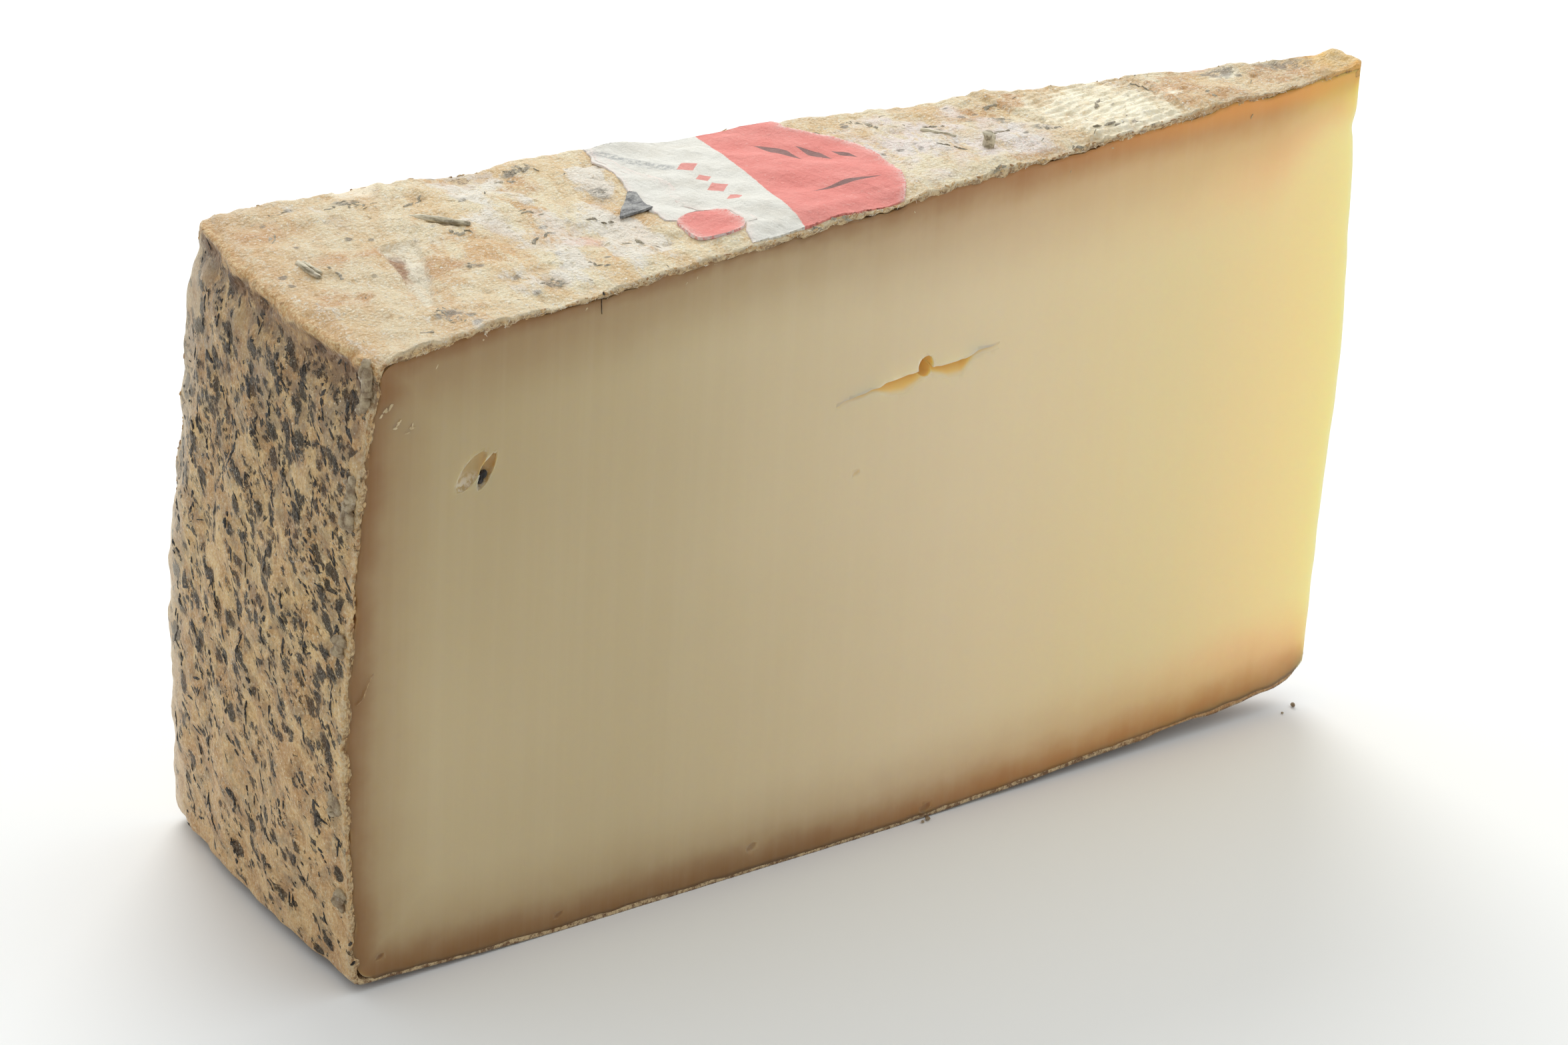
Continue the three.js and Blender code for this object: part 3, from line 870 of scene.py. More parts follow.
def buildPaste(material):
    bm = boxGrid(paste["along"] - 1, paste["columns"] - 1, paste["columns"] - 1, paste["up"] - 1)
    mesh = meshFrom(bm, "paste")
    unit = readPoints(mesh) + 0.5
    across = 2 * unit[:, 1] - 1
    outline = rindOutline()
    toe = outline[outline[:, 1] < 30][-14:]
    crown = outline[:8]
    reach = unit[:, 0] * rimRadius
    height = unit[:, 2] * wheel["axisHeight"]
    # settled step by step, as the rind's thickness depends on the place
    for _ in range(6):
        topDepth, rimDepth, underDepth = (
            rindDepth(reach, height, across, onTop, onRim) - paste["sink"] for onTop, onRim in ((1, 0), (0, 1), (0, 0))
        )
        highest = np.minimum(topHeight(reach), np.interp(reach, crown[:, 0], crown[:, 1], right=200)) - topDepth
        onToe = np.interp(reach, toe[::-1, 0], toe[::-1, 1])
        lowest = np.where(reach < wheel["toeLength"], onToe, underHeight(reach))
        height = lowest + underDepth + (highest - lowest - underDepth) * unit[:, 2]
        rim = rimReach(height) - rimDepth
        tip = tipReach(height) + paste["tipRound"] * across**4
        reach = tip + (rim - tip) * unit[:, 0]
    edge = np.abs(across) > 0.999

    # rounded where the top and the underside meet the rim
    for corner, sign, size in ((rimTop, 1, wheel["shoulder"]), (wheel["foot"], -1, wheel["heel"] + 1)):
        farthest = float(rimReach(corner)) - rind["depthRim"] + paste["sink"]
        edgeHeight = corner + sign * (0.3 - rind["depthTop"])
        aside = np.maximum(0, reach - farthest + size) / size
        upwards = np.maximum(0, sign * (height - edgeHeight) + size) / size
        over = np.maximum(1, np.hypot(aside, upwards))
        both = (aside > 0) & (upwards > 0)
        reach = np.where(both, farthest - size + size * aside / over, reach)
        height = np.where(both, edgeHeight - sign * size + sign * size * upwards / over, height)
    lift = skinLift(reach, height, across)
    nearTop = smoothStep(unit[:, 2], 0.9, 1)
    nearRim = smoothStep(unit[:, 0], 0.94, 1)
    nearTip = 1 - smoothStep(unit[:, 0], 0, 0.06)
    height = height + lift * nearTop * (1 - nearRim)
    chipped = chip["depth"] * chipShare(*onWedge(reach, height, across).T[:2])
    height = height - (edgeDrag(reach, across) + chipped) * nearTop
    reach = reach + lift * nearRim * (1 - nearTop) - lift * nearTip * (1 - nearTop)
    height = height - paste["inset"] * nearTop * ~edge
    reach = reach - paste["inset"] * nearRim * ~edge
    points = onWedge(reach, height, across)
    streaks = 0.005 * softNoise(points * (1, 1, 0.02), 2.1, 81) + 0.05 * softNoise(points * (1, 1, 0.25), 14, 82)
    points[:, 1] += edge * streaks
    writePoints(mesh, points * mm)
    faceOutwards(mesh)
    cutters = [crackCutter(), lumpsOnFront("smallEyeCutter", drawsOf("smallEye"), smallEye)]
    cutters += [lumpsOnFront("eyeCutter", drawsOf("eyes"), lobe) for lobe in eyeLobes]
    mesh = cutAway(mesh, cutters + [lumpsOnFront("nickCutter", drawsOf("nicks"), nicks)])
    mesh.name = "paste"

    points = readPoints(mesh) / mm
    reach, across = offWedge(points)
    x, height = points[:, 0], points[:, 2]
    behind = (frontTip - points) @ frontOut
    inCrack = (x > crack["fromX"] - 2) & (x < crack["toX"] + 2) & (np.abs(height - crack["height"]) < 5) & (behind < 7)
    inEye = (np.abs(x - eye["x"]) < 5) & (np.abs(height - eye["height"]) < 5) & (behind < 4)
    addMasks(
        mesh,
        toTop=np.clip(topHeight(reach) - height, 0, 60),
        toRim=np.clip(rimReach(height) - reach, 0, 60),
        toUnder=np.clip(height - underHeight(reach), 0, 60),
        fromTip=reach,
        broken=smoothStep(behind, 0.02, 0.45) * inCrack,
        eye=smoothStep(behind, 0.03, 0.3) * inEye,
        opened=np.maximum(smoothStep(behind, 0.35, 0.8) * inCrack, smoothStep(behind, 0.05, 0.2) * inEye),
    )
    return addPiece("paste", mesh, material, "paste", ["cheese"])


pasteTints = {
    "thick": [(206, 188, 149), (214, 196, 157)],
    "middle": [(234, 214, 176), (239, 219, 181)],
    "thin": (255, 230, 168),
    "dull": (170, 148, 106),
    "crust": [(146, 104, 58), (206, 138, 72)],
    "broken": (250, 208, 122),
    "eye": [(184, 156, 106), (200, 160, 98)],
    "eyePale": (222, 208, 184),
    "glow": (255, 216, 124),
    "rim": (252, 180, 94),
    "wire": (250, 240, 214),
}


def pasteMaterial():
    material, shader = newMaterial("pasteCut")
    tint = pasteTints
    place = inMillimetres()
    reach, toTop, height = mask("fromTip"), mask("toTop"), axisOf(place, "Z")

    # the thin end is a clearer yellow and the thick end duller: partly the paste's own tone, partly painted light
    # shining through the thin end and painted shade high on the thick end
    clouds = noise(place, 26, 2, 0.5)
    thick = between(clouds, *tint["thick"])
    middle = between(clouds, *tint["middle"])
    cut = mixed(ranged(reach, 125, 55), thick, middle)
    # painted light: a clearer yellow where light shines through the thin end
    cut = tinted(cut, tint["thin"], ranged(reach, 76, 4))
    # painted shade high on the thick end
    dull = times(ranged(reach, 95, 150), ranged(height, 25, 85, 0.1, 0.55))
    cut = tinted(cut, tint["dull"], dull)

    # browner towards the rind, strongest just below it, then a wide soft part: partly the paste's own browning under
    # the rind, partly painted shade below the rind and near the floor
    wander = times(minus(noise(place, 6, 3), 0.5), 3.0)
    nearTop = times(ranged(reach, 112, 66, 3.4, 7.4), ranged(reach, 16, 5, 1, 0.6))
    farTop = times(ranged(reach, 112, 50, 15, 22), ranged(reach, 16, 5, 1, 0.5))
    shade = None
    for name, close, far in (("toTop", nearTop, farTop), ("toRim", 5.0, 15), ("toUnder", 6.8, 15.5)):
        depth = plus(mask(name), wander)
        tight = ranged(depth, close, 0.5)
        wide = worked("POWER", ranged(depth, far, 0.5), 1.3)
        brownedAndShaded = plus(times(tight, 0.45), times(wide, 0.55))
        shade = brownedAndShaded if shade is None else worked("MAXIMUM", shade, brownedAndShaded)
    # the brown of the rind's edge and painted shade alike
    crust = between(ranged(reach, 100, 12), *tint["crust"])
    cut = mixed(times(shade, 0.95), cut, crust)

    # the crack is more orange inside, the eye browner with a pale lower part
    cut = tinted(cut, tint["broken"], mask("broken"), 0.85)
    inEye = between(ranged(axisOf(place, "X"), -60.4, -58.6), *tint["eye"])
    pale = times(ranged(height, 67.2, 65.4), ranged(noise(place, 0.8, 4), 0.38, 0.55))
    inEye = tinted(inEye, tint["eyePale"], pale)
    cut = mixed(times(mask("eye"), 0.8), cut, inEye)

    # light that comes through at the tip and below the top rind
    glow = times(ranged(reach, 17, 2), ranged(toTop, 8, 1.5))
    cut = tinted(cut, tint["glow"], glow, 0.9)
    rim = times(ranged(reach, 60, 12), ranged(toTop, 4.2, 1.4))
    cut = tinted(cut, tint["rim"], rim, 0.65)
    wire = noise(inMillimetres(stretch=(1, 1, 40)), 1.7, 4, 0.6)
    cut = tinted(cut, tint["wire"], ranged(wire, 0.35, 0.75, 0.0, 0.04))
    inside = ranged(toTop, 1.2, 9, 0.06, 1)
    thinEnd = times(ranged(reach, 10, 3), ranged(toTop, 1.2, 3.6))
    inside = worked("MAXIMUM", inside, thinEnd)
    inside = times(inside, ranged(mask("opened"), 0, 1, 1, 0.15))

    moist = grouped(grain, {"Place": place, "Size": 0.9})
    rise = plus(times(wire, 0.3), times(moist["Height"], 0.2))
    finish(shader, {
        "Base Color": cut,
        "Roughness": ranged(moist["Gloss"], 0, 1, 0.42, 0.52),
        "Normal": bumped(rise, 0.2, 0.08),
        "Subsurface Weight": 1.0,
        "Subsurface Radius": (0.8, 0.68, 0.40),
        "Subsurface Scale": times(ranged(reach, 64, 4, 0.005, 0.0095), inside),
        "Subsurface Anisotropy": 0.3,
        "Specular IOR Level": 0.35,
    })
    return material


def speckled(place, size, share, radius, soft=0.08):
    # specks in some of the cells
    cells = cellsOf(place, size)
    drawn = put("ShaderNodeSeparateColor", {"Color": cells["Color"]}).outputs
    chosen = worked("LESS_THAN", drawn["Red"], share)
    grown = times(plus(times(drawn["Green"], 0.6), 0.4), radius)
    return times(chosen, ranged(minus(cells["Distance"], grown), soft, -soft))


def pushedAbout(place, size, amount):
    # the same coordinates, torn by noise
    inputs = {0: noise(place, size, 5, 0.7, output="Color"), 1: (amount, amount, amount), 2: place}
    return put("ShaderNodeVectorMath", inputs, operation="MULTIPLY_ADD").outputs[0]


topTints = {
    "tan": (240, 206, 150),
    "pale": (252, 236, 196),
    "orange": (231, 184, 120),
    "dull": (224, 194, 148),
    "cream": (255, 246, 216),
    "brown": (214, 162, 102),
    "pink": (255, 240, 230),
    "rose": (246, 184, 168),
    "grain": (255, 249, 230),
    "pit": (208, 156, 100),
    "glint": (255, 253, 244),
    "dot": (116, 106, 90),
}


def topSkin(place, brush):
    # cream and tan patches brushed round the wheel, orange where the bloom is off
    tint = topTints
    along = axisOf(place, "X")
    broad = noise(brush, 5, 6, 0.66, 0.5)
    skin = between(ranged(broad, 0.38, 0.60), tint["tan"], tint["pale"])
    deep = ranged(noise(brush, 6, 6, 0.68, 0.3), 0.50, 0.62)
    skin = tinted(skin, tint["orange"], times(deep, ranged(along, -24, -34, 0.55, 1)))
    skin = tinted(skin, tint["dull"], ranged(along, -42, -66, 0, 0.4))
    mottled = ranged(noise(place, 1.9, 5, 0.65), 0.34, 0.52, 0.35, 0.95)
    skin = tinted(skin, tint["cream"], times(mask("creamPatch"), mottled))
    patchy = ranged(noise(place, 2.2, 6, 0.7), 0.36, 0.58)
    skin = tinted(skin, tint["brown"], times(mask("brownPatch"), patchy), 0.9)
    cloudy = ranged(noise(brush, 2.2, 7, 0.75), 0.40, 0.52, 0.1, 1.0)
    skin = tinted(skin, tint["pink"], times(mask("pinkPatch"), cloudy))
    fine = noise(place, 0.5, 8, 0.8)
    rosy = ranged(fine, 0.40, 0.56, 0.25, 0.8)
    skin = tinted(skin, tint["rose"], times(mask("rosePatch"), rosy))
    skin = tinted(skin, tint["grain"], ranged(fine, 0.50, 0.62, 0, 0.75))
    calm = minus(1.0, times(mask("creamPatch"), 0.7))
    skin = tinted(skin, tint["pit"], times(ranged(fine, 0.47, 0.36, 0, 0.45), calm))
    skin = tinted(skin, tint["glint"], speckled(place, 0.5, 0.2, 0.3), 0.7)
    dots = speckled(pushedAbout(place, 0.7, 0.7), 2.4, 0.22, 0.26)
    return tinted(skin, tint["dot"], dots, 0.75)


rimTints = {
    "tan": (206, 158, 96),
    "pale": (240, 202, 138),
    "low": (232, 186, 138),
    "grain": (255, 236, 194),
    "pit": (150, 104, 62),
    "upper": (132, 104, 80),
    "smoke": (120, 104, 84),
    "leafDark": (26, 22, 18),
    "leafPaleAndSheen": (92, 84, 70),
    "leafGlint": (206, 200, 188),
    "sparkle": (255, 244, 220),
    "far": (244, 230, 208),
    "groove": (112, 84, 64),
    "lipDark": (212, 156, 88),
    "lipPale": (250, 220, 164),
}
leafSizes = [(1.9, 0.55, 0.08, 0.55), (0.8, 0.30, 0.06, 0.58)]  # size, share where herbs crowd, share elsewhere, radius


def rimSkin(place, height):
    # tan, pinker towards the floor, with scraps of leaf rubbed flat into it
    tint = rimTints
    slanted = inMillimetres(turn=(math.radians(50), 0, 0), stretch=(1, 1, 1.5))
    mottle = noise(slanted, 3.0, 6, 0.66)
    skin = between(ranged(mottle, 0.38, 0.60), tint["tan"], tint["pale"])
    skin = tinted(skin, tint["low"], ranged(height, 46, 8), 0.3)
    fine = noise(place, 0.5, 8, 0.8)
    skin = tinted(skin, tint["grain"], ranged(fine, 0.50, 0.62, 0, 0.7))
    skin = tinted(skin, tint["pit"], ranged(fine, 0.47, 0.36, 0, 0.6))
    cloud = noise(place, 2.4, 6, 0.7)
    upper = times(ranged(height, 54, 80), ranged(cloud, 0.36, 0.56, 0.3, 1))
    skin = tinted(skin, tint["upper"], upper, 0.5)
    crowd = ranged(mask("stain"), 0.25, 0.95)
    skin = tinted(skin, tint["smoke"], times(crowd, ranged(cloud, 0.40, 0.62)), 0.5)

    torn = pushedAbout(slanted, 0.8, 2.3)
    thinning = ranged(height, 10, 62, 0.55, 1.2)
    leaves = []
    for size, crowded, plain, radius in leafSizes:
        share = times(plus(times(crowd, crowded), plain), thinning)
        leaves.append(speckled(torn, size, share, radius))
    leaf = worked("MAXIMUM", *leaves)
    # leaf scraps from dark to paler, the paler parts partly the leaf's own tone and partly a painted wet sheen, with
    # painted glints on top
    leafTint = between(ranged(fine, 0.46, 0.60), tint["leafDark"], tint["leafPaleAndSheen"])
    glint = ranged(noise(place, 0.24, 3, 0.6), 0.58, 0.68)
    leafTint = tinted(leafTint, tint["leafGlint"], glint, 0.6)
    skin = mixed(times(leaf, 0.92), skin, leafTint)
    skin = tinted(skin, tint["sparkle"], speckled(place, 0.42, 0.16, 0.3), 0.6)
    skin = tinted(skin, tint["far"], ranged(axisOf(place, "Y"), 17, 26, 0, 0.45))

    drop = mask("lipDrop")
    # painted shade in the groove under the lip
    groove = times(ranged(drop, 0.55, 0.22), ranged(cloud, 0.36, 0.56, 0.2, 1.0))
    skin = tinted(skin, tint["groove"], groove, 0.6)
    wavering = times(minus(cloud, 0.5), 0.3)
    lip = ranged(plus(drop, wavering), 0.20, 0.11)
    lipTint = between(ranged(fine, 0.42, 0.60), tint["lipDark"], tint["lipPale"])
    return mixed(times(lip, 0.95), skin, lipTint), leaf


rindTints = {
    "underDark": (104, 76, 50),
    "underPale": (150, 112, 72),
    "bloom": (255, 250, 240),
    "grey": (138, 130, 116),
    "scarDark": (162, 122, 90),
    "scarPale": (196, 162, 128),
    "scarFlake": (252, 241, 214),
    "hollowShade": (196, 144, 94),
    "chip": (240, 212, 158),
    "cutEdge": (236, 218, 182),
    "crustDark": (128, 88, 50),
    "crustPale": (232, 202, 152),
    "crustTip": (208, 150, 84),
    "glow": (255, 206, 114),
    "glowEdge": (255, 186, 84),
}
bloomCover = {"plain": 0.34, "onRim": -0.12, "whitePatch": 0.40, "pinkPatch": 0.18, "brownPatch": -0.16}


def rindMaterial():
    material, shader = newMaterial("rubbedRind")
    tint = rindTints
    place = inMillimetres()
    brush = inMillimetres(stretch=(1, 3.2, 1))
    onRim = mask("onRim")
    rim, leaf = rimSkin(place, axisOf(place, "Z"))
    skin = mixed(onRim, topSkin(place, brush), rim)
    under = between(noise(place, 6, 4), tint["underDark"], tint["underPale"])
    skin = mixed(mask("onUnder"), skin, under)

    # bloom, thick beside the label and thin on the rim
    cover = plus(times(onRim, bloomCover["onRim"]), bloomCover["plain"])
    for name in ("whitePatch", "pinkPatch", "brownPatch"):
        cover = plus(cover, times(mask(name), bloomCover[name]))
    white = grouped(bloom, {"Place": brush, "Cover": cover, "Cloud": 4.0})
    skin = tinted(skin, tint["bloom"], white["Mask"], 0.7)
    clumps = ranged(noise(pushedAbout(place, 1.0, 1.2), 1.3, 6, 0.75), 0.42, 0.52)
    skin = tinted(skin, tint["grey"], times(mask("greyPatch"), clumps), 0.85)

    # the scar, painted shade in the hollows, the chip and the paler edge along the cuts
    scarCloud = ranged(noise(place, 0.9, 5), 0.4, 0.62)
    floorTint = between(scarCloud, tint["scarDark"], tint["scarPale"])
    skin = mixed(mask("scarFloor"), skin, floorTint)
    flakes = mask("scarFlakes")
    flaky = ranged(ranged(noise(place, 0.7, 6, 0.75), 0.40, 0.52), 0, 1, 0.5, 1)
    skin = tinted(skin, tint["scarFlake"], times(flakes, flaky))
    # painted shade in the hollows of the relief, less on the scar's flakes
    hollowShade = times(mask("hollow"), minus(0.22, times(flakes, 0.22)))
    skin = tinted(skin, tint["hollowShade"], hollowShade)
    skin = tinted(skin, tint["chip"], ranged(mask("chip"), 0.3, 0.8))
    edgeNoise = noise(place, 0.8, 7, 0.78)
    ragged = times(mask("nearCut"), ranged(edgeNoise, 0.46, 0.56))
    skin = tinted(skin, tint["cutEdge"], ragged, 0.6)
    crust = between(ranged(edgeNoise, 0.40, 0.58), tint["crustDark"], tint["crustPale"])
    crust = tinted(crust, tint["crustTip"], ranged(axisOf(place, "X"), 42, 56, 0, 0.75))
    skin = mixed(ranged(mask("cutSide"), 0.0, 0.4, 0, 0.85), skin, crust)

    # light that comes through the thin tip
    tip = mask("tipGlow")
    spotty = ranged(noise(place, 2.0, 5), 0.34, 0.6, 1.0, 0.65)
    skin = tinted(skin, tint["glow"], times(tip, spotty))
    lowest = times(tip, ranged(mask("nearCut"), 0.7, 1))
    skin = tinted(skin, tint["glowEdge"], lowest, 0.85)

    moist = grouped(grain, {"Place": place, "Size": 0.42})
    rise = plus(moist["Height"], times(white["Height"], 0.5))
    rise = plus(rise, times(leaf, times(onRim, 0.6)))
    rise = plus(rise, times(noise(place, 1.1, 8, 0.75), 0.8))
    rough = ranged(moist["Gloss"], 0, 1, 0.28, 0.6)
    finish(shader, {
        "Base Color": skin,
        "Roughness": plus(rough, times(white["Mask"], 0.2)),
        "Normal": bumped(rise, ranged(mask("creamPatch"), 0, 1, 1.0, 0.6), 0.3),
        "Specular IOR Level": ranged(times(leaf, onRim), 0, 1, 0.5, 0.18),
    })
    return material


dustTint, stemBloom, crustBloom = (196, 188, 174), (214, 204, 184), (236, 228, 212)


def herbMaterial(name, dark, brown, pale, dust):
    material, shader = newMaterial(name)
    place = inMillimetres()
    base = between(ranged(noise(place, 2.6, 3), 0.42, 0.6), dark, brown)
    base = tinted(base, pale, ranged(noise(place, 0.4, 6, 0.75), 0.48, 0.66, 0, 0.8))
    white = grouped(bloom, {"Place": place, "Cover": 0.3 + 0.4 * dust, "Cloud": 2.4})
    base = tinted(base, dustTint, white["Mask"], 0.25 + 0.5 * dust)
    moist = grouped(grain, {"Place": place, "Size": 0.3})
    finish(shader, {
        "Base Color": base,
        "Roughness": ranged(moist["Gloss"], 0, 1, 0.26 + 0.3 * dust, 0.55 + 0.2 * dust),
        "Normal": bumped(moist["Height"], 1.0, 0.3),
        "Specular IOR Level": 0.3,
    })
    return material


def stemMaterial(name, dark, pale):
    material, shader = newMaterial(name)
    place = inMillimetres()
    fibres = noise(inMillimetres(turn=(0, 0, math.radians(55)), stretch=(5, 1, 1)), 0.7, 4, 0.7)
    base = between(ranged(fibres, 0.38, 0.60), dark, pale)
    white = grouped(bloom, {"Place": place, "Cover": 0.5, "Cloud": 2.0})
    finish(shader, {
        "Base Color": tinted(base, stemBloom, white["Mask"], 0.6),
        "Roughness": 0.62,
        "Normal": bumped(fibres, 0.8, 0.25),
    })
    return material


def crustMaterial(name, dark, pale):
    material, shader = newMaterial(name)
    place = inMillimetres()
    base = between(ranged(noise(place, 1.2, 4, 0.65), 0.35, 0.65), dark, pale)
    moist = grouped(grain, {"Place": place, "Size": 0.4})
    white = grouped(bloom, {"Place": place, "Cover": 0.4, "Cloud": 2.0})
    finish(shader, {
        "Base Color": tinted(base, crustBloom, white["Mask"], 0.4),
        "Roughness": ranged(moist["Gloss"], 0, 1, 0.4, 0.7),
        "Normal": bumped(moist["Height"], 0.6, 0.2),
    })
    return material


# Herbs: the largest lie where the solids have them, the rest fill in between
herbs = {
    "rimLarge": 92,
    "topLarge": 20,
    "seed": 41,
    "rimSmall": 1150,
    "crowd": {"all": 0.26, "high": 0.40, "front": 0.22, "patchy": 0.62},
    "topSmall": 70,
    "largeStain": 1.5,
    "smallStain": 0.95,
    "scarX": -60.2,
    "clusters": [  # x, y, spread and count
        (-58.4, 17.8, 3.0, 16), (-35.9, 16.2, 2.2, 12), (-47.4, -16.4, 2.0, 11), (-53.8, -7.2, 0.9, 4),
        (-62.6, -17.6, 1.8, 9), (-61.6, -20.4, 1.2, 5), (-66.2, -21.6, 0.9, 4), (-11.0, -16.4, 1.0, 4),
        (-7.3, -17.8, 1.1, 4), (16.8, -12.4, 1.6, 6), (30.5, -9.6, 1.2, 4), (-66.0, 20.6, 1.6, 6),
        (26.0, 2.5, 2.2, 5), (8.4, 10.5, 1.8, 4),
    ],
}


def drawsFrom(seed):
    # the same row of draws as the solids were made with
    step, whole = 0x6D2B79F5, 0xFFFFFFFF
    state = [seed]

    def draw(low, high):
        state[0] = value = (state[0] + step) & whole
        value = ((value ^ value >> 15) * (value | 1)) & whole
        value ^= (value + (((value ^ value >> 7) * (value | 61)) & whole)) & whole
        return low + (high - low) * ((value ^ value >> 14) & whole) / (whole + 1)

    return draw


def rimFrame(across, slant):
    # long axis, wide axis and outward axis of a sliver on the rim
    angle = across * halfAngle
    out = np.array([-math.cos(angle), math.sin(angle), 0])
    side = np.array([-math.sin(angle), -math.cos(angle), 0])
    long = side * math.sin(slant)
    long[2] = -math.cos(slant)
    return [long, np.cross(out, long), out]


def flatFrame(turn):
    up = np.array([0, 0, 1.0])
    long = np.array([math.cos(turn), math.sin(turn), 0])
    return [long, np.cross(up, long), up]


def rimPoint(height, across):
    height, across = np.array([float(height)]), np.array([float(across)])
    reach = rimReach(height)
    return onWedge(reach + swell(reach, height, across), height, across)[0]


def topPoint(x, y, lift=0.0):
    reach, across = offWedge(np.array([[x, y, 0.0]]))
    height = topHeight(reach)
    return np.array([x, y, (height + skinLift(reach, height, across))[0] + lift])


def largeHerbs():
    draw = drawsFrom(herbs["seed"])
    draw(0, 1)  # setting the seed takes one draw there too
    placed, rows = [], []

    def isClear(point, room):
        return all(np.linalg.norm(other - point) > room for other in placed)

    def keep(point, axes, onRim):
        placed.append(point)
        rows.append((point, axes, (draw(3, 6.2), draw(1, 1.6), draw(1.1, 1.5)), onRim))

    while len(placed) < herbs["rimLarge"]:
        across = draw(-0.9, 0.9)
        height = draw(6, rimTop - 7)
        slant = math.radians(draw(-5, 60))
        point = rimPoint(height, across)
        if isClear(point, 4.6):
            keep(point, rimFrame(across, slant), True)
    while len(placed) < herbs["rimLarge"] + herbs["topLarge"]:
        reach = draw(24, rimRadius - 9)
        across = draw(-0.8, 0.8)
        turn = draw(0, math.pi)
        r, a = np.array([reach]), np.array([across])
        point = onWedge(r, topHeight(r) + swell(r, topHeight(r), a), a)[0]
        nearLabel = math.hypot(point[0] - label["spotX"], point[1] - label["spotY"]) < label["radius"] + 5
        nearScar = abs(point[0] - herbs["scarX"]) < 7
        if not nearLabel and not nearScar and isClear(point, 7):
            keep(point, flatFrame(turn), False)
    return rows


def flake(parts, centre, axes, size, rng, kind=1):
    # one dry scrap of leaf, its long way turned a little within the skin
    turn = rng.normal(0, 0.3)
    long = axes[0] * math.cos(turn) + axes[1] * math.sin(turn)
    turned = [long, np.cross(axes[2], long), axes[2]]
    lumpInto(parts, centre, turned, size, rng, kind, 0.24, rng.uniform(-0.9, 0.9))


def smallHerbs():
    # places of the fine herbs on the rim, thickest below the lip and towards the front cut
    rng = drawsOf("smallHerbs")
    crowd = herbs["crowd"]
    rows = []
    while len(rows) < herbs["rimSmall"]:
        across, height = rng.uniform(-0.97, 0.97), rng.uniform(2, rimTop - 2.6)
        share = crowd["all"] + crowd["high"] * smoothStep(height, 46, 84)
        share += crowd["front"] * smoothStep(-across, 0.1, 0.9)
        share += crowd["patchy"] * grains(np.array([[across * 26, height, 0]]), 11, 91)[0]
        if rng.random() > share:
            continue
        size = (0.5 + 2.2 * rng.random() ** 2.2, rng.uniform(0.25, 0.6), rng.uniform(0.2, 0.36))
        rows.append((rimPoint(height, across), rimFrame(across, math.radians(rng.normal(50, 24))), size))
    return rows


def herbStains(points, onRim, onTop):
    # how strongly the herbs nearby have stained the skin, softest a millimetre or so away
    found = np.zeros(len(points))
    here = np.flatnonzero((onRim > 0.05) | (onTop > 0.5))
    some = points[here]
    total = np.zeros(len(some))
    rows = [(*row[:3], herbs["largeStain"]) for row in largeRows] + [(*row, herbs["smallStain"]) for row in smallRows]
    for centre, axes, size, reach in rows:
        near = np.flatnonzero(np.abs(some - centre).max(axis=1) < size[0] / 2 + 2.2 * reach)
        away = some[near] - centre
        along = away @ axes[0]
        beyond = np.maximum(np.abs(along) - size[0] / 2, 0)
        aside = np.maximum(np.linalg.norm(away - along[:, None] * axes[0], axis=1) - size[1] / 2, 0)
        stain = np.exp(-((beyond**2 + aside**2) / reach**2))
        total[near] = 1 - (1 - total[near]) * (1 - 0.75 * stain)
    found[here] = total
    return found


def buildHerbs(skin, material, dusty):
    rng = drawsOf("herbs")
    onRimSide, onTopSide = [], []
    for point, axes, size, onRim in largeRows:
        # a ragged sliver of a few scraps, about flush with the rind
        long, wide, _ = size
        centre, axes = laidOn(skin, point, axes, 0.12)
        for share in (-0.32, -0.1, 0.12, 0.3):
            drift = axes[0] * (share + rng.uniform(-0.08, 0.08)) * long + axes[1] * rng.uniform(-0.3, 0.3) * wide
            shape = (long * rng.uniform(0.2, 0.4), wide * rng.uniform(0.3, 0.65), rng.uniform(0.35, 0.55))
            spot, turned = laidOn(skin, centre + drift, axes, 0.1)
            flake(onRimSide if onRim else onTopSide, spot, turned, shape, rng)
    for point, axes, size in smallRows:
        if rng.random() < 0.5:
            centre, axes = laidOn(skin, point, axes, rng.uniform(0.04, 0.14))
            flake(onRimSide, centre, axes, size, rng)
    for _ in range(herbs["topSmall"]):
        reach, across = spansOf(rng, (15, rimRadius - 5), (-0.95, 0.95))
        point = onWedge(reach, topHeight(reach), across)
        if underLabel(point[:1], point[1:2])[0] < 0.01:
            centre, axes = laidOn(skin, point, flatFrame(rng.uniform(0, 3.14)), 0.06)
            flake(onTopSide, centre, axes, (*spansOf(rng, (0.4, 1.2), (0.15, 0.35)), 0.22), rng)
    for x, y, spread, count in herbs["clusters"]:
        for _ in range(count):
            dx, dy = rng.normal(0, spread / 2, 2)
            centre, axes = laidOn(skin, topPoint(x + dx, y + dy * 0.6), flatFrame(rng.normal(-0.4, 0.8)), 0.06)
            flake(onTopSide, centre, axes, spansOf(rng, (0.5, 1.8), (0.2, 0.5), (0.2, 0.36)), rng)
    addLumps("rim_herbs", onRimSide, material, "herbs", smooth=False)
    addLumps("top_herbs", onTopSide, dusty, "herbs", smooth=False)


# Fine fibres of bloom that lie on the top rind and hang over its cut edge
fibres = {"lying": 900, "hanging": 380, "radius": 0.04}


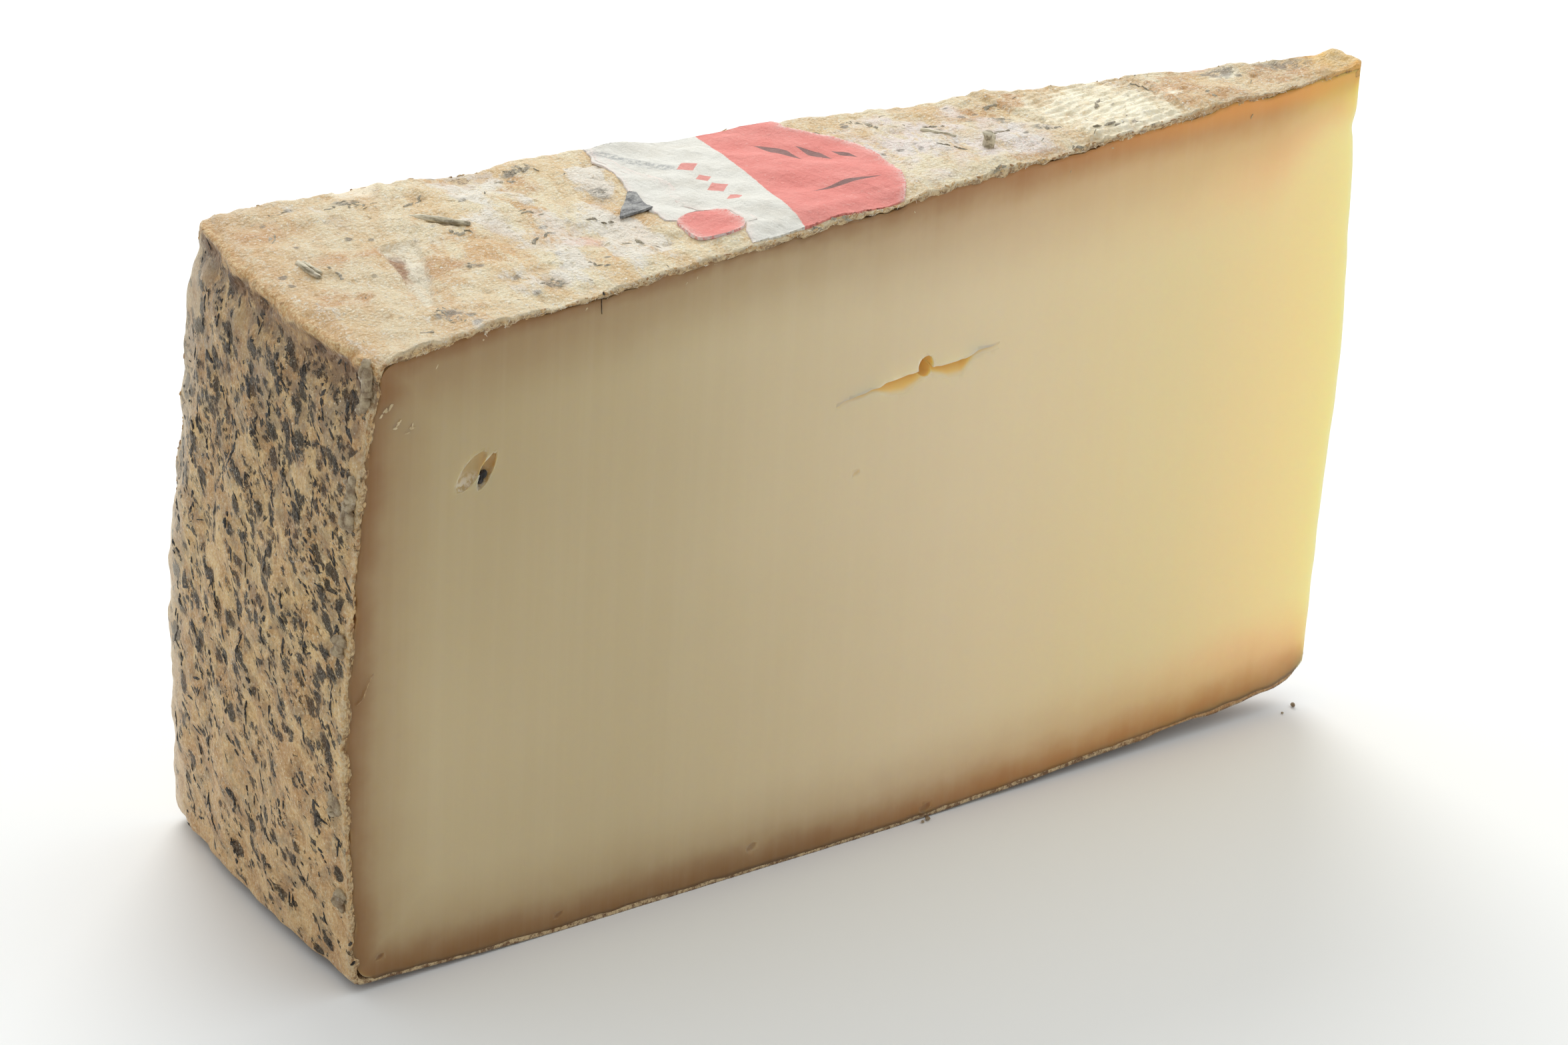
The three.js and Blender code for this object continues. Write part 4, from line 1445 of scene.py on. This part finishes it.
def buildFibres(skin, material):
    rng = drawsOf("fibres")
    parts = []
    thick = 2 * fibres["radius"]
    while len(parts) < fibres["lying"]:
        reach, across = spansOf(rng, (6, rimRadius - 3), (-0.98, 0.98))
        point = onWedge(reach, topHeight(reach), across)
        crowd = 0.25 + 0.75 * patchShare("white", point[None])[0] + 0.5 * patchShare("pink", point[None])[0]
        if rng.random() > crowd or underLabel(point[:1], point[1:2])[0] > 0.01:
            continue
        centre, axes = laidOn(skin, point, flatFrame(rng.uniform(0, 6.28)), -0.02)
        tilted = [axes[0] + rng.uniform(-0.3, 0.3) * axes[2], axes[1], axes[2]]
        size = (rng.uniform(0.35, 1.0), thick, thick)
        lumpInto(parts, centre, tilted, size, rng, "fibre", 0.05, rng.uniform(-6, 6))
    for _ in range(fibres["hanging"]):
        reach = rng.uniform(6, rimRadius - 3)
        point = onWedge(reach, float(topHeight(reach)) - rng.uniform(0.3, 1.6), -1.0) + frontOut * 0.4
        centre, axes = laidOn(skin, point, frontAxes(rng.normal(-90, 50)), -0.02)
        size = (rng.uniform(0.3, 0.9), thick, thick)
        lumpInto(parts, centre, axes, size, rng, "fibre", 0.05, rng.uniform(-6, 6))
    addLumps("bloom_fibres", parts, material, "rind", smooth=False)


# Stems, the peppercorn and a dark hair
stems = [
    {"start": (-53.1, 10.1, 0.1), "end": (-48.7, 3.5, 0.2), "radius": 0.45},
    {"start": (-54.6, 12.4, 0.0), "end": (-52.6, 9.2, 0.1), "radius": 0.3},
    {"start": (-71.6, 4.3, 0.1), "end": (-70.4, -0.2, 0.1), "radius": 0.4},
    {"start": (-71.0, 4.0, 0.1), "end": (-69.9, 0.6, 0.1), "radius": 0.3},
    {"start": (20.4, -4.6, -0.8), "end": (19.7, -5.2, 2.1), "radius": 0.8},
    {"start": (15.2, 3.6, -0.1), "end": (17.6, -1.2, 0.05), "radius": 0.32},
]


def buildStems(material):
    rng = drawsOf("stems")
    whole = bmesh.new()
    for stem in stems:
        start, end = topPoint(*stem["start"]), topPoint(*stem["end"])
        long = end - start
        length = np.linalg.norm(long)
        bm = bmesh.new()
        thin = stem["radius"] * 0.85
        bmesh.ops.create_cone(bm, cap_ends=True, segments=12, radius1=stem["radius"], radius2=thin, depth=length)
        sides = [edge for edge in bm.edges if abs((edge.verts[0].co - edge.verts[1].co).z) > 0.5 * length]
        bmesh.ops.subdivide_edges(bm, edges=sides, cuts=9)
        turn = Vector((0, 0, 1)).rotation_difference(Vector(long)).to_matrix()
        for vert in bm.verts:
            along = vert.co.z / length
            angle = math.atan2(vert.co.y, vert.co.x)
            groove = 1 + 0.16 * math.cos(5 * angle + 2 * along) + rng.uniform(-0.14, 0.14)
            groove *= 1 - 0.45 * max(0, abs(2 * along) - 0.75) / 0.25 * rng.random()
            sway = 0.3 * math.sin(5 * along + stem["radius"] * 9) * stem["radius"]
            placed = Vector((vert.co.x * groove + sway, vert.co.y * groove, vert.co.z))
            vert.co = (Vector(start + long / 2) + turn @ placed) * mm
        joinInto(whole, bm)
    addPiece("stems", meshFrom(whole, "stems"), material, "herbs", ["cheese"])


# x, height, distance out, lean, size, template, unevenness and bend, as for the openings
peppercorn = [
    (-58.9, 66.0, -0.5, 60, (1.15, 0.95, 0.9), 3, 0.05, 0),
    (-59.4, 65.3, -0.45, 20, (0.95, 0.85, 0.8), 3, 0.05, 0),
]
darkHair = [
    (-42.95, 84.8, 0.06, -87, (2.5, 0.16, 0.16), "fibre", 0.03, 0.8),
    (-42.8, 86.2, 0.2, -60, (0.6, 0.3, 0.3), 1, 0.2, 0),
    (-76.5, 7.4, 0.05, 40, (0.9, 0.6, 0.5), 1, 0.25, 0),
    (-76.1, 4.6, 0.05, 40, (0.9, 0.6, 0.5), 1, 0.25, 0),
]
tanFibre = [
    (-75.1, 42.2, 0.25, 66, (3.2, 0.22, 0.22), "fibre", 0.03, -2.4),
    (-75.9, 40.4, 0.2, 40, (1.6, 0.18, 0.18), "fibre", 0.03, 1.5),
]


def buildPeppercorn(material):
    mesh = lumpsOnFront("peppercorn", drawsOf("peppercorn"), peppercorn)
    addPiece("peppercorn", mesh, material, "herbs", ["cheese"])


def buildHairs(dark, tan):
    # a dark hair below the label with black bits near the rim's foot, a pale fibre at the rim's edge
    rng = drawsOf("hairs")
    addPiece("dark_hair", lumpsOnFront("dark_hair", rng, darkHair), dark, "herbs", ["cheese"])
    addPiece("tan_fibre", lumpsOnFront("tan_fibre", rng, tanFibre), tan, "rind", ["cheese"])


# Crust: lumps on the rim's front edge, grains along the cut edges and crumbs
crustSizes = {
    "rimLumps": [(81.2, 4.8), (78.2, 2.8), (67, 3.4), (64, 2.2), (47.5, 2.4), (26, 2.6), (13, 2.2)],
    "grainsTop": 420,
    "grainsRim": 300,
    "flakes": 10,
    "smears": [(-73.5, 77.4, 1.6), (-71.5, 75.6, 1.2), (-69.6, 74.7, 1.2)],
    "crumbs": [(77.5, -3.6, 0.8), (74.9, -4.9, 0.4), (13.2, -13.2, 0.8), (12.2, -13.6, 0.5)],
}


def buildCrust(skin, paleMaterial, tan, pasteLike):
    rng = drawsOf("crust")
    parts = []
    axes = [frontUp, frontOut, frontAlong]
    for height, length in crustSizes["rimLumps"]:
        centre = onWedge(float(rimReach(height)) + 0.1, height, -0.945)
        lumpInto(parts, centre, axes, (length, 1.5, 1.3), rng, 3, 0.16, rng.uniform(-0.4, 0.4))
        for _ in range(9):
            near = centre + np.array([0, 0, rng.uniform(-0.5, 0.5) * length]) + frontOut * rng.uniform(-1.0, 0.4)
            lumpInto(parts, near, axes, rng.uniform(0.7, 1.9, 3), rng, 2, 0.22)
    addLumps("crust_lumps", parts, paleMaterial, "rind")

    # grains and shreds that cling to the rind's cut edges
    parts = []
    for _ in range(crustSizes["grainsTop"]):
        reach = rng.uniform(3, rimRadius - 4)
        side = -1 if rng.random() < 0.65 else 1
        height = float(topHeight(reach)) - rng.uniform(0, 1.2)
        point = onWedge(reach, height, side) + np.array([0, side * 0.3, 0])
        centre, axes = laidOn(skin, point, frontAxes(rng.normal(8, 25)), 0.04)
        size = spansOf(rng, (0.3, 1.1), (0.15, 0.4), (0.15, 0.35))
        lumpInto(parts, centre, axes, size, rng, 1, 0.3, rng.uniform(-1, 1))
    for _ in range(crustSizes["grainsRim"]):
        height = rng.uniform(2, rimTop - 2)
        side = -1 if rng.random() < 0.6 else 1
        point = onWedge(float(rimReach(height)) - rng.uniform(-0.1, 0.9), height, side * 1.003)
        centre, axes = laidOn(skin, point, [frontUp, frontOut, frontAlong], 0.04)
        size = spansOf(rng, (0.3, 1.2), (0.2, 0.5), (0.15, 0.4))
        lumpInto(parts, centre, axes, size, rng, 1, 0.3, rng.uniform(-1, 1))
    addLumps("crust_grains", parts, tan, "rind")

    # thin scraps smeared over the upper edge of the front cut
    parts = []
    for _ in range(crustSizes["flakes"]):
        x = rng.uniform(-70, 60)
        height = topPoint(x, 0)[2] - rng.exponential(0.9) - 1.6
        size = spansOf(rng, (0.3, 0.8), (0.15, 0.3), (0.1, 0.16))
        lumpInto(parts, onFront(x, height), frontAxes(rng.uniform(-80, 80)), size, rng, 2, 0.25)
    for x, height, size in crustSizes["smears"]:
        for _ in range(5):
            dx, dz = rng.normal(0, 0.3 * size, 2)
            shape = (size * rng.uniform(0.3, 0.7), size * rng.uniform(0.15, 0.3), 0.16)
            place = onFront(x + dx, height + 0.7 * dx + 0.4 * dz)
            lumpInto(parts, place, frontAxes(rng.normal(35, 20)), shape, rng, 2, 0.25)
    addLumps("paste_flakes", parts, pasteLike, "paste")

    parts = []
    for x, y, size in crustSizes["crumbs"]:
        place = np.array([x, y, size * 0.42])
        lumpInto(parts, place, flatFrame(rng.uniform(0, 3)), (size * 1.1, size * 0.8, size * 0.7), rng, 2, 0.15)
    addPiece("crumbs", gathered(parts, "crumbs"), paleMaterial, "rind")


# Label: torn, crinkled paper
label = {
    "spotX": -11,
    "spotY": -3,
    "radius": 17.5,
    "inset": 0.3,
    # the outlines by y and x
    "tear": [
        (-24, -20.6), (-14.9, -20.4), (-12.6, -18.9), (-8.4, -19.2), (-6.5, -21.6), (-3.6, -23.6),
        (3, -23.0), (8.2, -24.4), (13.6, -26.2), (19.4, -24.9),
    ],
    "backing": [
        (-13, -21), (-9, -23.5), (-7, -27.3), (-3.8, -27.6), (3, -26.7), (8.2, -25.9), (13.6, -26.6), (19.4, -25.4),
    ],
    "flapLeft": [(-3.8, -31.8), (-3.3, -31.6), (3.3, -27.1)],
    "flapRight": [(-3.8, -27.3), (2.8, -26.1), (3.3, -26.9)],
    # x, y, width, height and lean of the printed shapes
    "lozenges": [
        (-4.5, 5.5, 1.1, 3.4, 0.5), (-0.6, 3.4, 0.8, 2.6, 0.5), (2.6, 1.2, 0.6, 1.9, 0.5), (-2.0, -7.5, 5.2, 0.5, 0.0),
    ],
    "marks": [
        (-17.2, 6.2, 1.5, 1.5, 0), (-17.0, 2.2, 1.1, 1.1, 0), (-16.8, -1.2, 1.5, 1.5, 0), (-16.6, -5.2, 1.1, 1.1, 0),
    ],
}
scrap = {"x": -22.9, "y": -10.9, "length": 7.3, "width": 7.9}
sheets = {
    "label_sheet": {
        "from": -18, "to": 18, "columns": 104, "rows": 128, "lift": 0.24, "thickness": 0.4,
        "seed": 110, "crinkle": 0.8, "lying": 0.12,
    },
    "label_backing": {
        "from": -13, "to": 18, "columns": 26, "rows": 100, "lift": 0.16, "thickness": 0.3,
        "seed": 120, "crinkle": 0.6, "lying": 0.0,
    },
    "label_flap": {
        "from": -3.8, "to": 3.3, "columns": 20, "rows": 30, "lift": 0.45, "thickness": 0.3,
        "seed": 150, "crinkle": 2.2, "lying": 0.0,
    },
    "scrap_sheet": {
        "from": scrap["y"] - scrap["width"] / 2, "to": scrap["y"] + scrap["width"] / 2, "columns": 44, "rows": 44,
        "lift": 0.34, "thickness": 0.4, "seed": 140, "crinkle": 1.0, "lying": 0.0,
    },
}


def paperSheet(name, leftAt, rightAt):
    # paper between a left and a right outline, both by y, that follows the rind below it
    sheet = sheets[name]
    mesh = meshFrom(boxGrid(sheet["columns"] - 1, sheet["rows"] - 1, sheet["rows"] - 1, 1), name)
    unit = readPoints(mesh) + 0.5
    along, over = unit[:, 0], unit[:, 2]
    flat = sheet["from"] + (sheet["to"] - sheet["from"]) * unit[:, 1]
    y = flat
    for _ in range(4):
        x = leftAt(y) + (rightAt(y) - leftAt(y)) * along
        half = (tipX - x) * math.tan(halfAngle) + bluntness(tipX - x) - label["inset"]
        y = np.clip(flat, -half, half)
    points = rowsOf(x, y)
    reach, across = offWedge(points)
    height = topHeight(reach)
    seed = sheet["seed"]
    folds = lumpy(points, (0.10, 3.2, seed), (0.06, 1.5, seed + 1), (0.03, 0.75, seed + 2))
    sharp = 0.12 * (1 - np.abs(softNoise(points, 5.5, seed + 3))) ** 6
    rim = np.minimum(np.minimum(along, 1 - along) * (sheet["columns"] * 0.25), 3)
    curl = (0.08 - sheet["lying"]) * np.exp(-rim) * (1 + softNoise(points, 2.0, seed + 4))
    top = sheet["lift"] + sheet["crinkle"] * (folds + sharp) + curl
    ground = height + skinLift(reach, height, across) - edgeDrag(reach, across)
    points[:, 2] = ground + np.where(over > 0.5, top, top - sheet["thickness"])
    writePoints(mesh, points * mm)
    faceOutwards(mesh)
    addMasks(mesh, torn=np.exp(-np.minimum(along, 1 - along) * (rightAt(y) - leftAt(y)) / 0.5))
    return mesh


def outlineBy(rows):
    ys, xs = zip(*rows)
    return lambda y: np.interp(y, ys, xs)


def ragged(values, y, size, amount, seed):
    return values + amount * grains(rowsOf(y), size, seed)


def buildLabel(paper, printLook, grey):
    tear, backing = outlineBy(label["tear"]), outlineBy(label["backing"])

    def rightEdge(y):
        inside = np.clip(1 - ((y - label["spotY"]) / label["radius"]) ** 2, 0.02, 1)
        arc = label["spotX"] + label["radius"] * np.sqrt(inside)
        return ragged(np.where(y > 11.2, -0.7, arc), y, 1.3, 0.10, 101)

    def leftEdge(y):
        return ragged(tear(y), y, 1.8, 0.22, 102)

    def backingEdge(y):
        return ragged(backing(y), y, 1.2, 0.35, 104)

    def scrapEdge(sign):
        def side(y):
            share = np.clip(1 - (2 * (y - scrap["y"]) / scrap["width"]) ** 4, 0, 1) ** 0.5
            wobble = grains(rowsOf(y, 5.0 * sign), 1.6, 130)
            return scrap["x"] + sign * (scrap["length"] / 2 * share + 0.28 * wobble * share)
        return side

    flapEdges = outlineBy(label["flapLeft"]), outlineBy(label["flapRight"])
    for name, edges, look, slot, node in (
        ("label_sheet", (leftEdge, rightEdge), paper, "label_paper", "label"),
        ("label_backing", (backingEdge, lambda y: leftEdge(y) + 1.5), paper, "label_paper", "label"),
        ("label_flap", flapEdges, grey, "label_paper", "label"),
        ("scrap_sheet", (scrapEdge(-1), scrapEdge(1)), printLook, "label_print", "label_scrap"),
    ):
        addPiece(name, paperSheet(name, *edges), look, slot, [node])


paperTints = {
    "white": [(238, 236, 226), (228, 224, 212)],
    "red": [(238, 142, 132), (243, 154, 144)],
    "redFibre": (252, 200, 190),
    "lozenges": (118, 104, 100),
    "marks": (236, 140, 130),
    "smear": (142, 146, 148),
    "frayed": (250, 232, 222),
}


def paperMaterial(name, printed):
    material, shader = newMaterial(name)
    tint = paperTints
    place = inMillimetres()
    x, y = axisOf(place, "X"), axisOf(place, "Y")
    fibrous = noise(place, 0.5, 5, 0.7)
    blotch = noise(place, 4, 4, 0.6)
    sheet = between(ranged(blotch, 0.35, 0.7), *tint["red"])
    sheet = tinted(sheet, tint["redFibre"], ranged(fibrous, 0.54, 0.70, 0, 0.4))

    def lozenge(middleX, middleY, wide, high, lean):
        # a plain lozenge round a place on the paper
        dx, dy = minus(x, middleX), minus(y, middleY)
        dx = plus(dx, times(dy, lean))
        sides = [worked("DIVIDE", worked("ABSOLUTE", way), size) for way, size in ((dx, wide), (dy, high))]
        return ranged(plus(plus(*sides), times(fibrous, 0.2)), 1.16, 1.04)

    if printed:
        # an off-white band beside the red field, the shapes on both, and a grey smear on the band
        border = plus(times(y, 0.05), -11.75)
        border = plus(border, times(minus(fibrous, 0.5), 0.35))
        white = between(ranged(blotch, 0.4, 0.7), *tint["white"])
        sheet = mixed(ranged(minus(x, border), -0.08, 0.08), white, sheet)
        for kind, strength in (("lozenges", 0.82), ("marks", 0.85)):
            for row in label[kind]:
                sheet = tinted(sheet, tint[kind], lozenge(*row), strength)
        smear = plus(times(plus(x, 22), 1.38), minus(y, 11.6))
        grainy = ranged(noise(place, 0.7, 4, 0.7), 0.36, 0.6)
        grey = times(ranged(worked("ABSOLUTE", smear), 2.0, 0.6), grainy)
        grey = times(grey, ranged(x, -18, -19))
        sheet = tinted(sheet, tint["smear"], grey, 0.65)
    frayed = times(mask("torn"), ranged(noise(place, 0.45, 6, 0.75), 0.40, 0.54))
    sheet = tinted(sheet, tint["frayed"], frayed, 0.9)
    slanted = inMillimetres(turn=(0, 0, math.radians(-20)), stretch=(1, 7, 1))
    crinkles = plus(noise(place, 1.3, 6, 0.7), times(noise(slanted, 0.8, 4, 0.6), 0.5))
    finish(shader, {
        "Base Color": sheet,
        "Roughness": ranged(fibrous, 0.3, 0.7, 0.6, 0.8),
        "Normal": bumped(plus(crinkles, times(fibrous, 0.3)), 0.8, 0.5),
        "Specular IOR Level": 0.3,
    })
    return material


# Room: a pale floor, soft light from behind and above, and the camera of the picture
room = {
    "floorSize": 6.0,
    "camera": (-0.3335, -0.5634, 0.3356),
    "heading": 30.345,
    "tilt": 24.322,
    "roll": 3.408,
    "lens": 127.17,
    "clip": 30,
    "floorTint": [(246, 247, 246), (248, 249, 248)],
    "sky": (0.97, 0.99, 1.0, 1),
    "skyFrom": (0.42, 0.72, 0.62),
    "lamp": {"place": (0.35, 1.05, 0.95), "aim": (0, 0, 0.03), "size": 0.9, "power": 10.5, "tint": (1.0, 0.985, 0.96)},
}


def buildRoom():
    scene = bpy.context.scene
    bm = bmesh.new()
    bmesh.ops.create_grid(bm, x_segments=8, y_segments=8, size=room["floorSize"] / 2)
    mesh = meshFrom(bm, "floor")
    floor = bpy.data.objects.new("floor", mesh)
    scene.collection.objects.link(floor)
    material, shader = newMaterial("paleFloor")
    cloud = noise(inMillimetres(), 300, 2)
    finish(shader, {
        "Base Color": between(cloud, *room["floorTint"]),
        "Roughness": 0.7,
        "Specular IOR Level": 0.2,
    })
    mesh.materials.append(material)

    camera = bpy.data.objects.new("camera", bpy.data.cameras.new("camera"))
    scene.collection.objects.link(camera)
    camera.data.sensor_width = 36
    camera.data.lens = room["lens"]
    camera.data.clip_start, camera.data.clip_end = 0.01, room["clip"]
    heading = Matrix.Rotation(math.radians(-room["heading"]), 4, "Z")
    tilt = Matrix.Rotation(math.radians(90 - room["tilt"]), 4, "X")
    roll = Matrix.Rotation(math.radians(room["roll"]), 4, "Z")
    camera.matrix_world = Matrix.Translation(room["camera"]) @ heading @ tilt @ roll
    scene.camera = camera

    world = bpy.data.worlds.new("softbox")
    scene.world = world
    world.use_nodes = True
    current["tree"] = world.node_tree
    way = put("ShaderNodeTexCoord").outputs["Generated"]
    towards = Vector(room["skyFrom"]).normalized()
    facing = put("ShaderNodeVectorMath", {0: way, 1: towards}, operation="DOT_PRODUCT").outputs["Value"]
    light = ranged(facing, -0.6, 1.0, 0.53, 0.98)
    finish(world.node_tree.nodes["Background"], {"Color": room["sky"], "Strength": light})

    lamp = bpy.data.lights.new("backLight", "AREA")
    lamp.shape = "DISK"
    lamp.size, lamp.energy, lamp.color = (room["lamp"][key] for key in ("size", "power", "tint"))
    holder = bpy.data.objects.new("backLight", lamp)
    scene.collection.objects.link(holder)
    place = Vector(room["lamp"]["place"])
    aimed = (Vector(room["lamp"]["aim"]) - place).to_track_quat("-Z", "Y").to_matrix().to_4x4()
    holder.matrix_world = Matrix.Translation(place) @ aimed
    scene.view_settings.view_transform = "Standard"
    scene.view_settings.look = "None"


buildRoom()
print("room ready")
smallRows, largeRows = smallHerbs(), largeHerbs()
rindPiece = buildRind(rindMaterial())
skin = BVHTree.FromObject(rindPiece, bpy.context.evaluated_depsgraph_get())
print("rind ready")
buildPaste(pasteMaterial())
print("paste ready")
herbLook = herbMaterial("driedHerb", (30, 28, 26), (58, 48, 38), (118, 112, 100), 0.0)
dustyHerb = herbMaterial("dustyHerb", (146, 136, 114), (178, 165, 138), (220, 212, 192), 0.6)
buildHerbs(skin, herbLook, dustyHerb)
buildFibres(skin, crustMaterial("bloomFibre", (232, 212, 176), (255, 246, 226)))
buildStems(stemMaterial("greyStem", (140, 128, 102), (222, 212, 184)))
buildPeppercorn(herbMaterial("pepperSkin", (50, 48, 48), (64, 58, 56), (118, 112, 108), 0.0))
buildHairs(herbLook, crustMaterial("tanFibre", (150, 112, 74), (204, 170, 124)))
print("herbs ready")
paleCrust = crustMaterial("paleCrust", (132, 110, 82), (184, 166, 134))
tanCrust = crustMaterial("tanCrust", (160, 116, 70), (222, 188, 134))
buildCrust(skin, paleCrust, tanCrust, crustMaterial("creamFlake", (192, 168, 126), (220, 200, 160)))
print("crust ready")
greyPaper = crustMaterial("greyPaper", (92, 92, 92), (156, 156, 152))
buildLabel(paperMaterial("labelPaper", True), paperMaterial("labelPrint", False), greyPaper)
print("label ready")
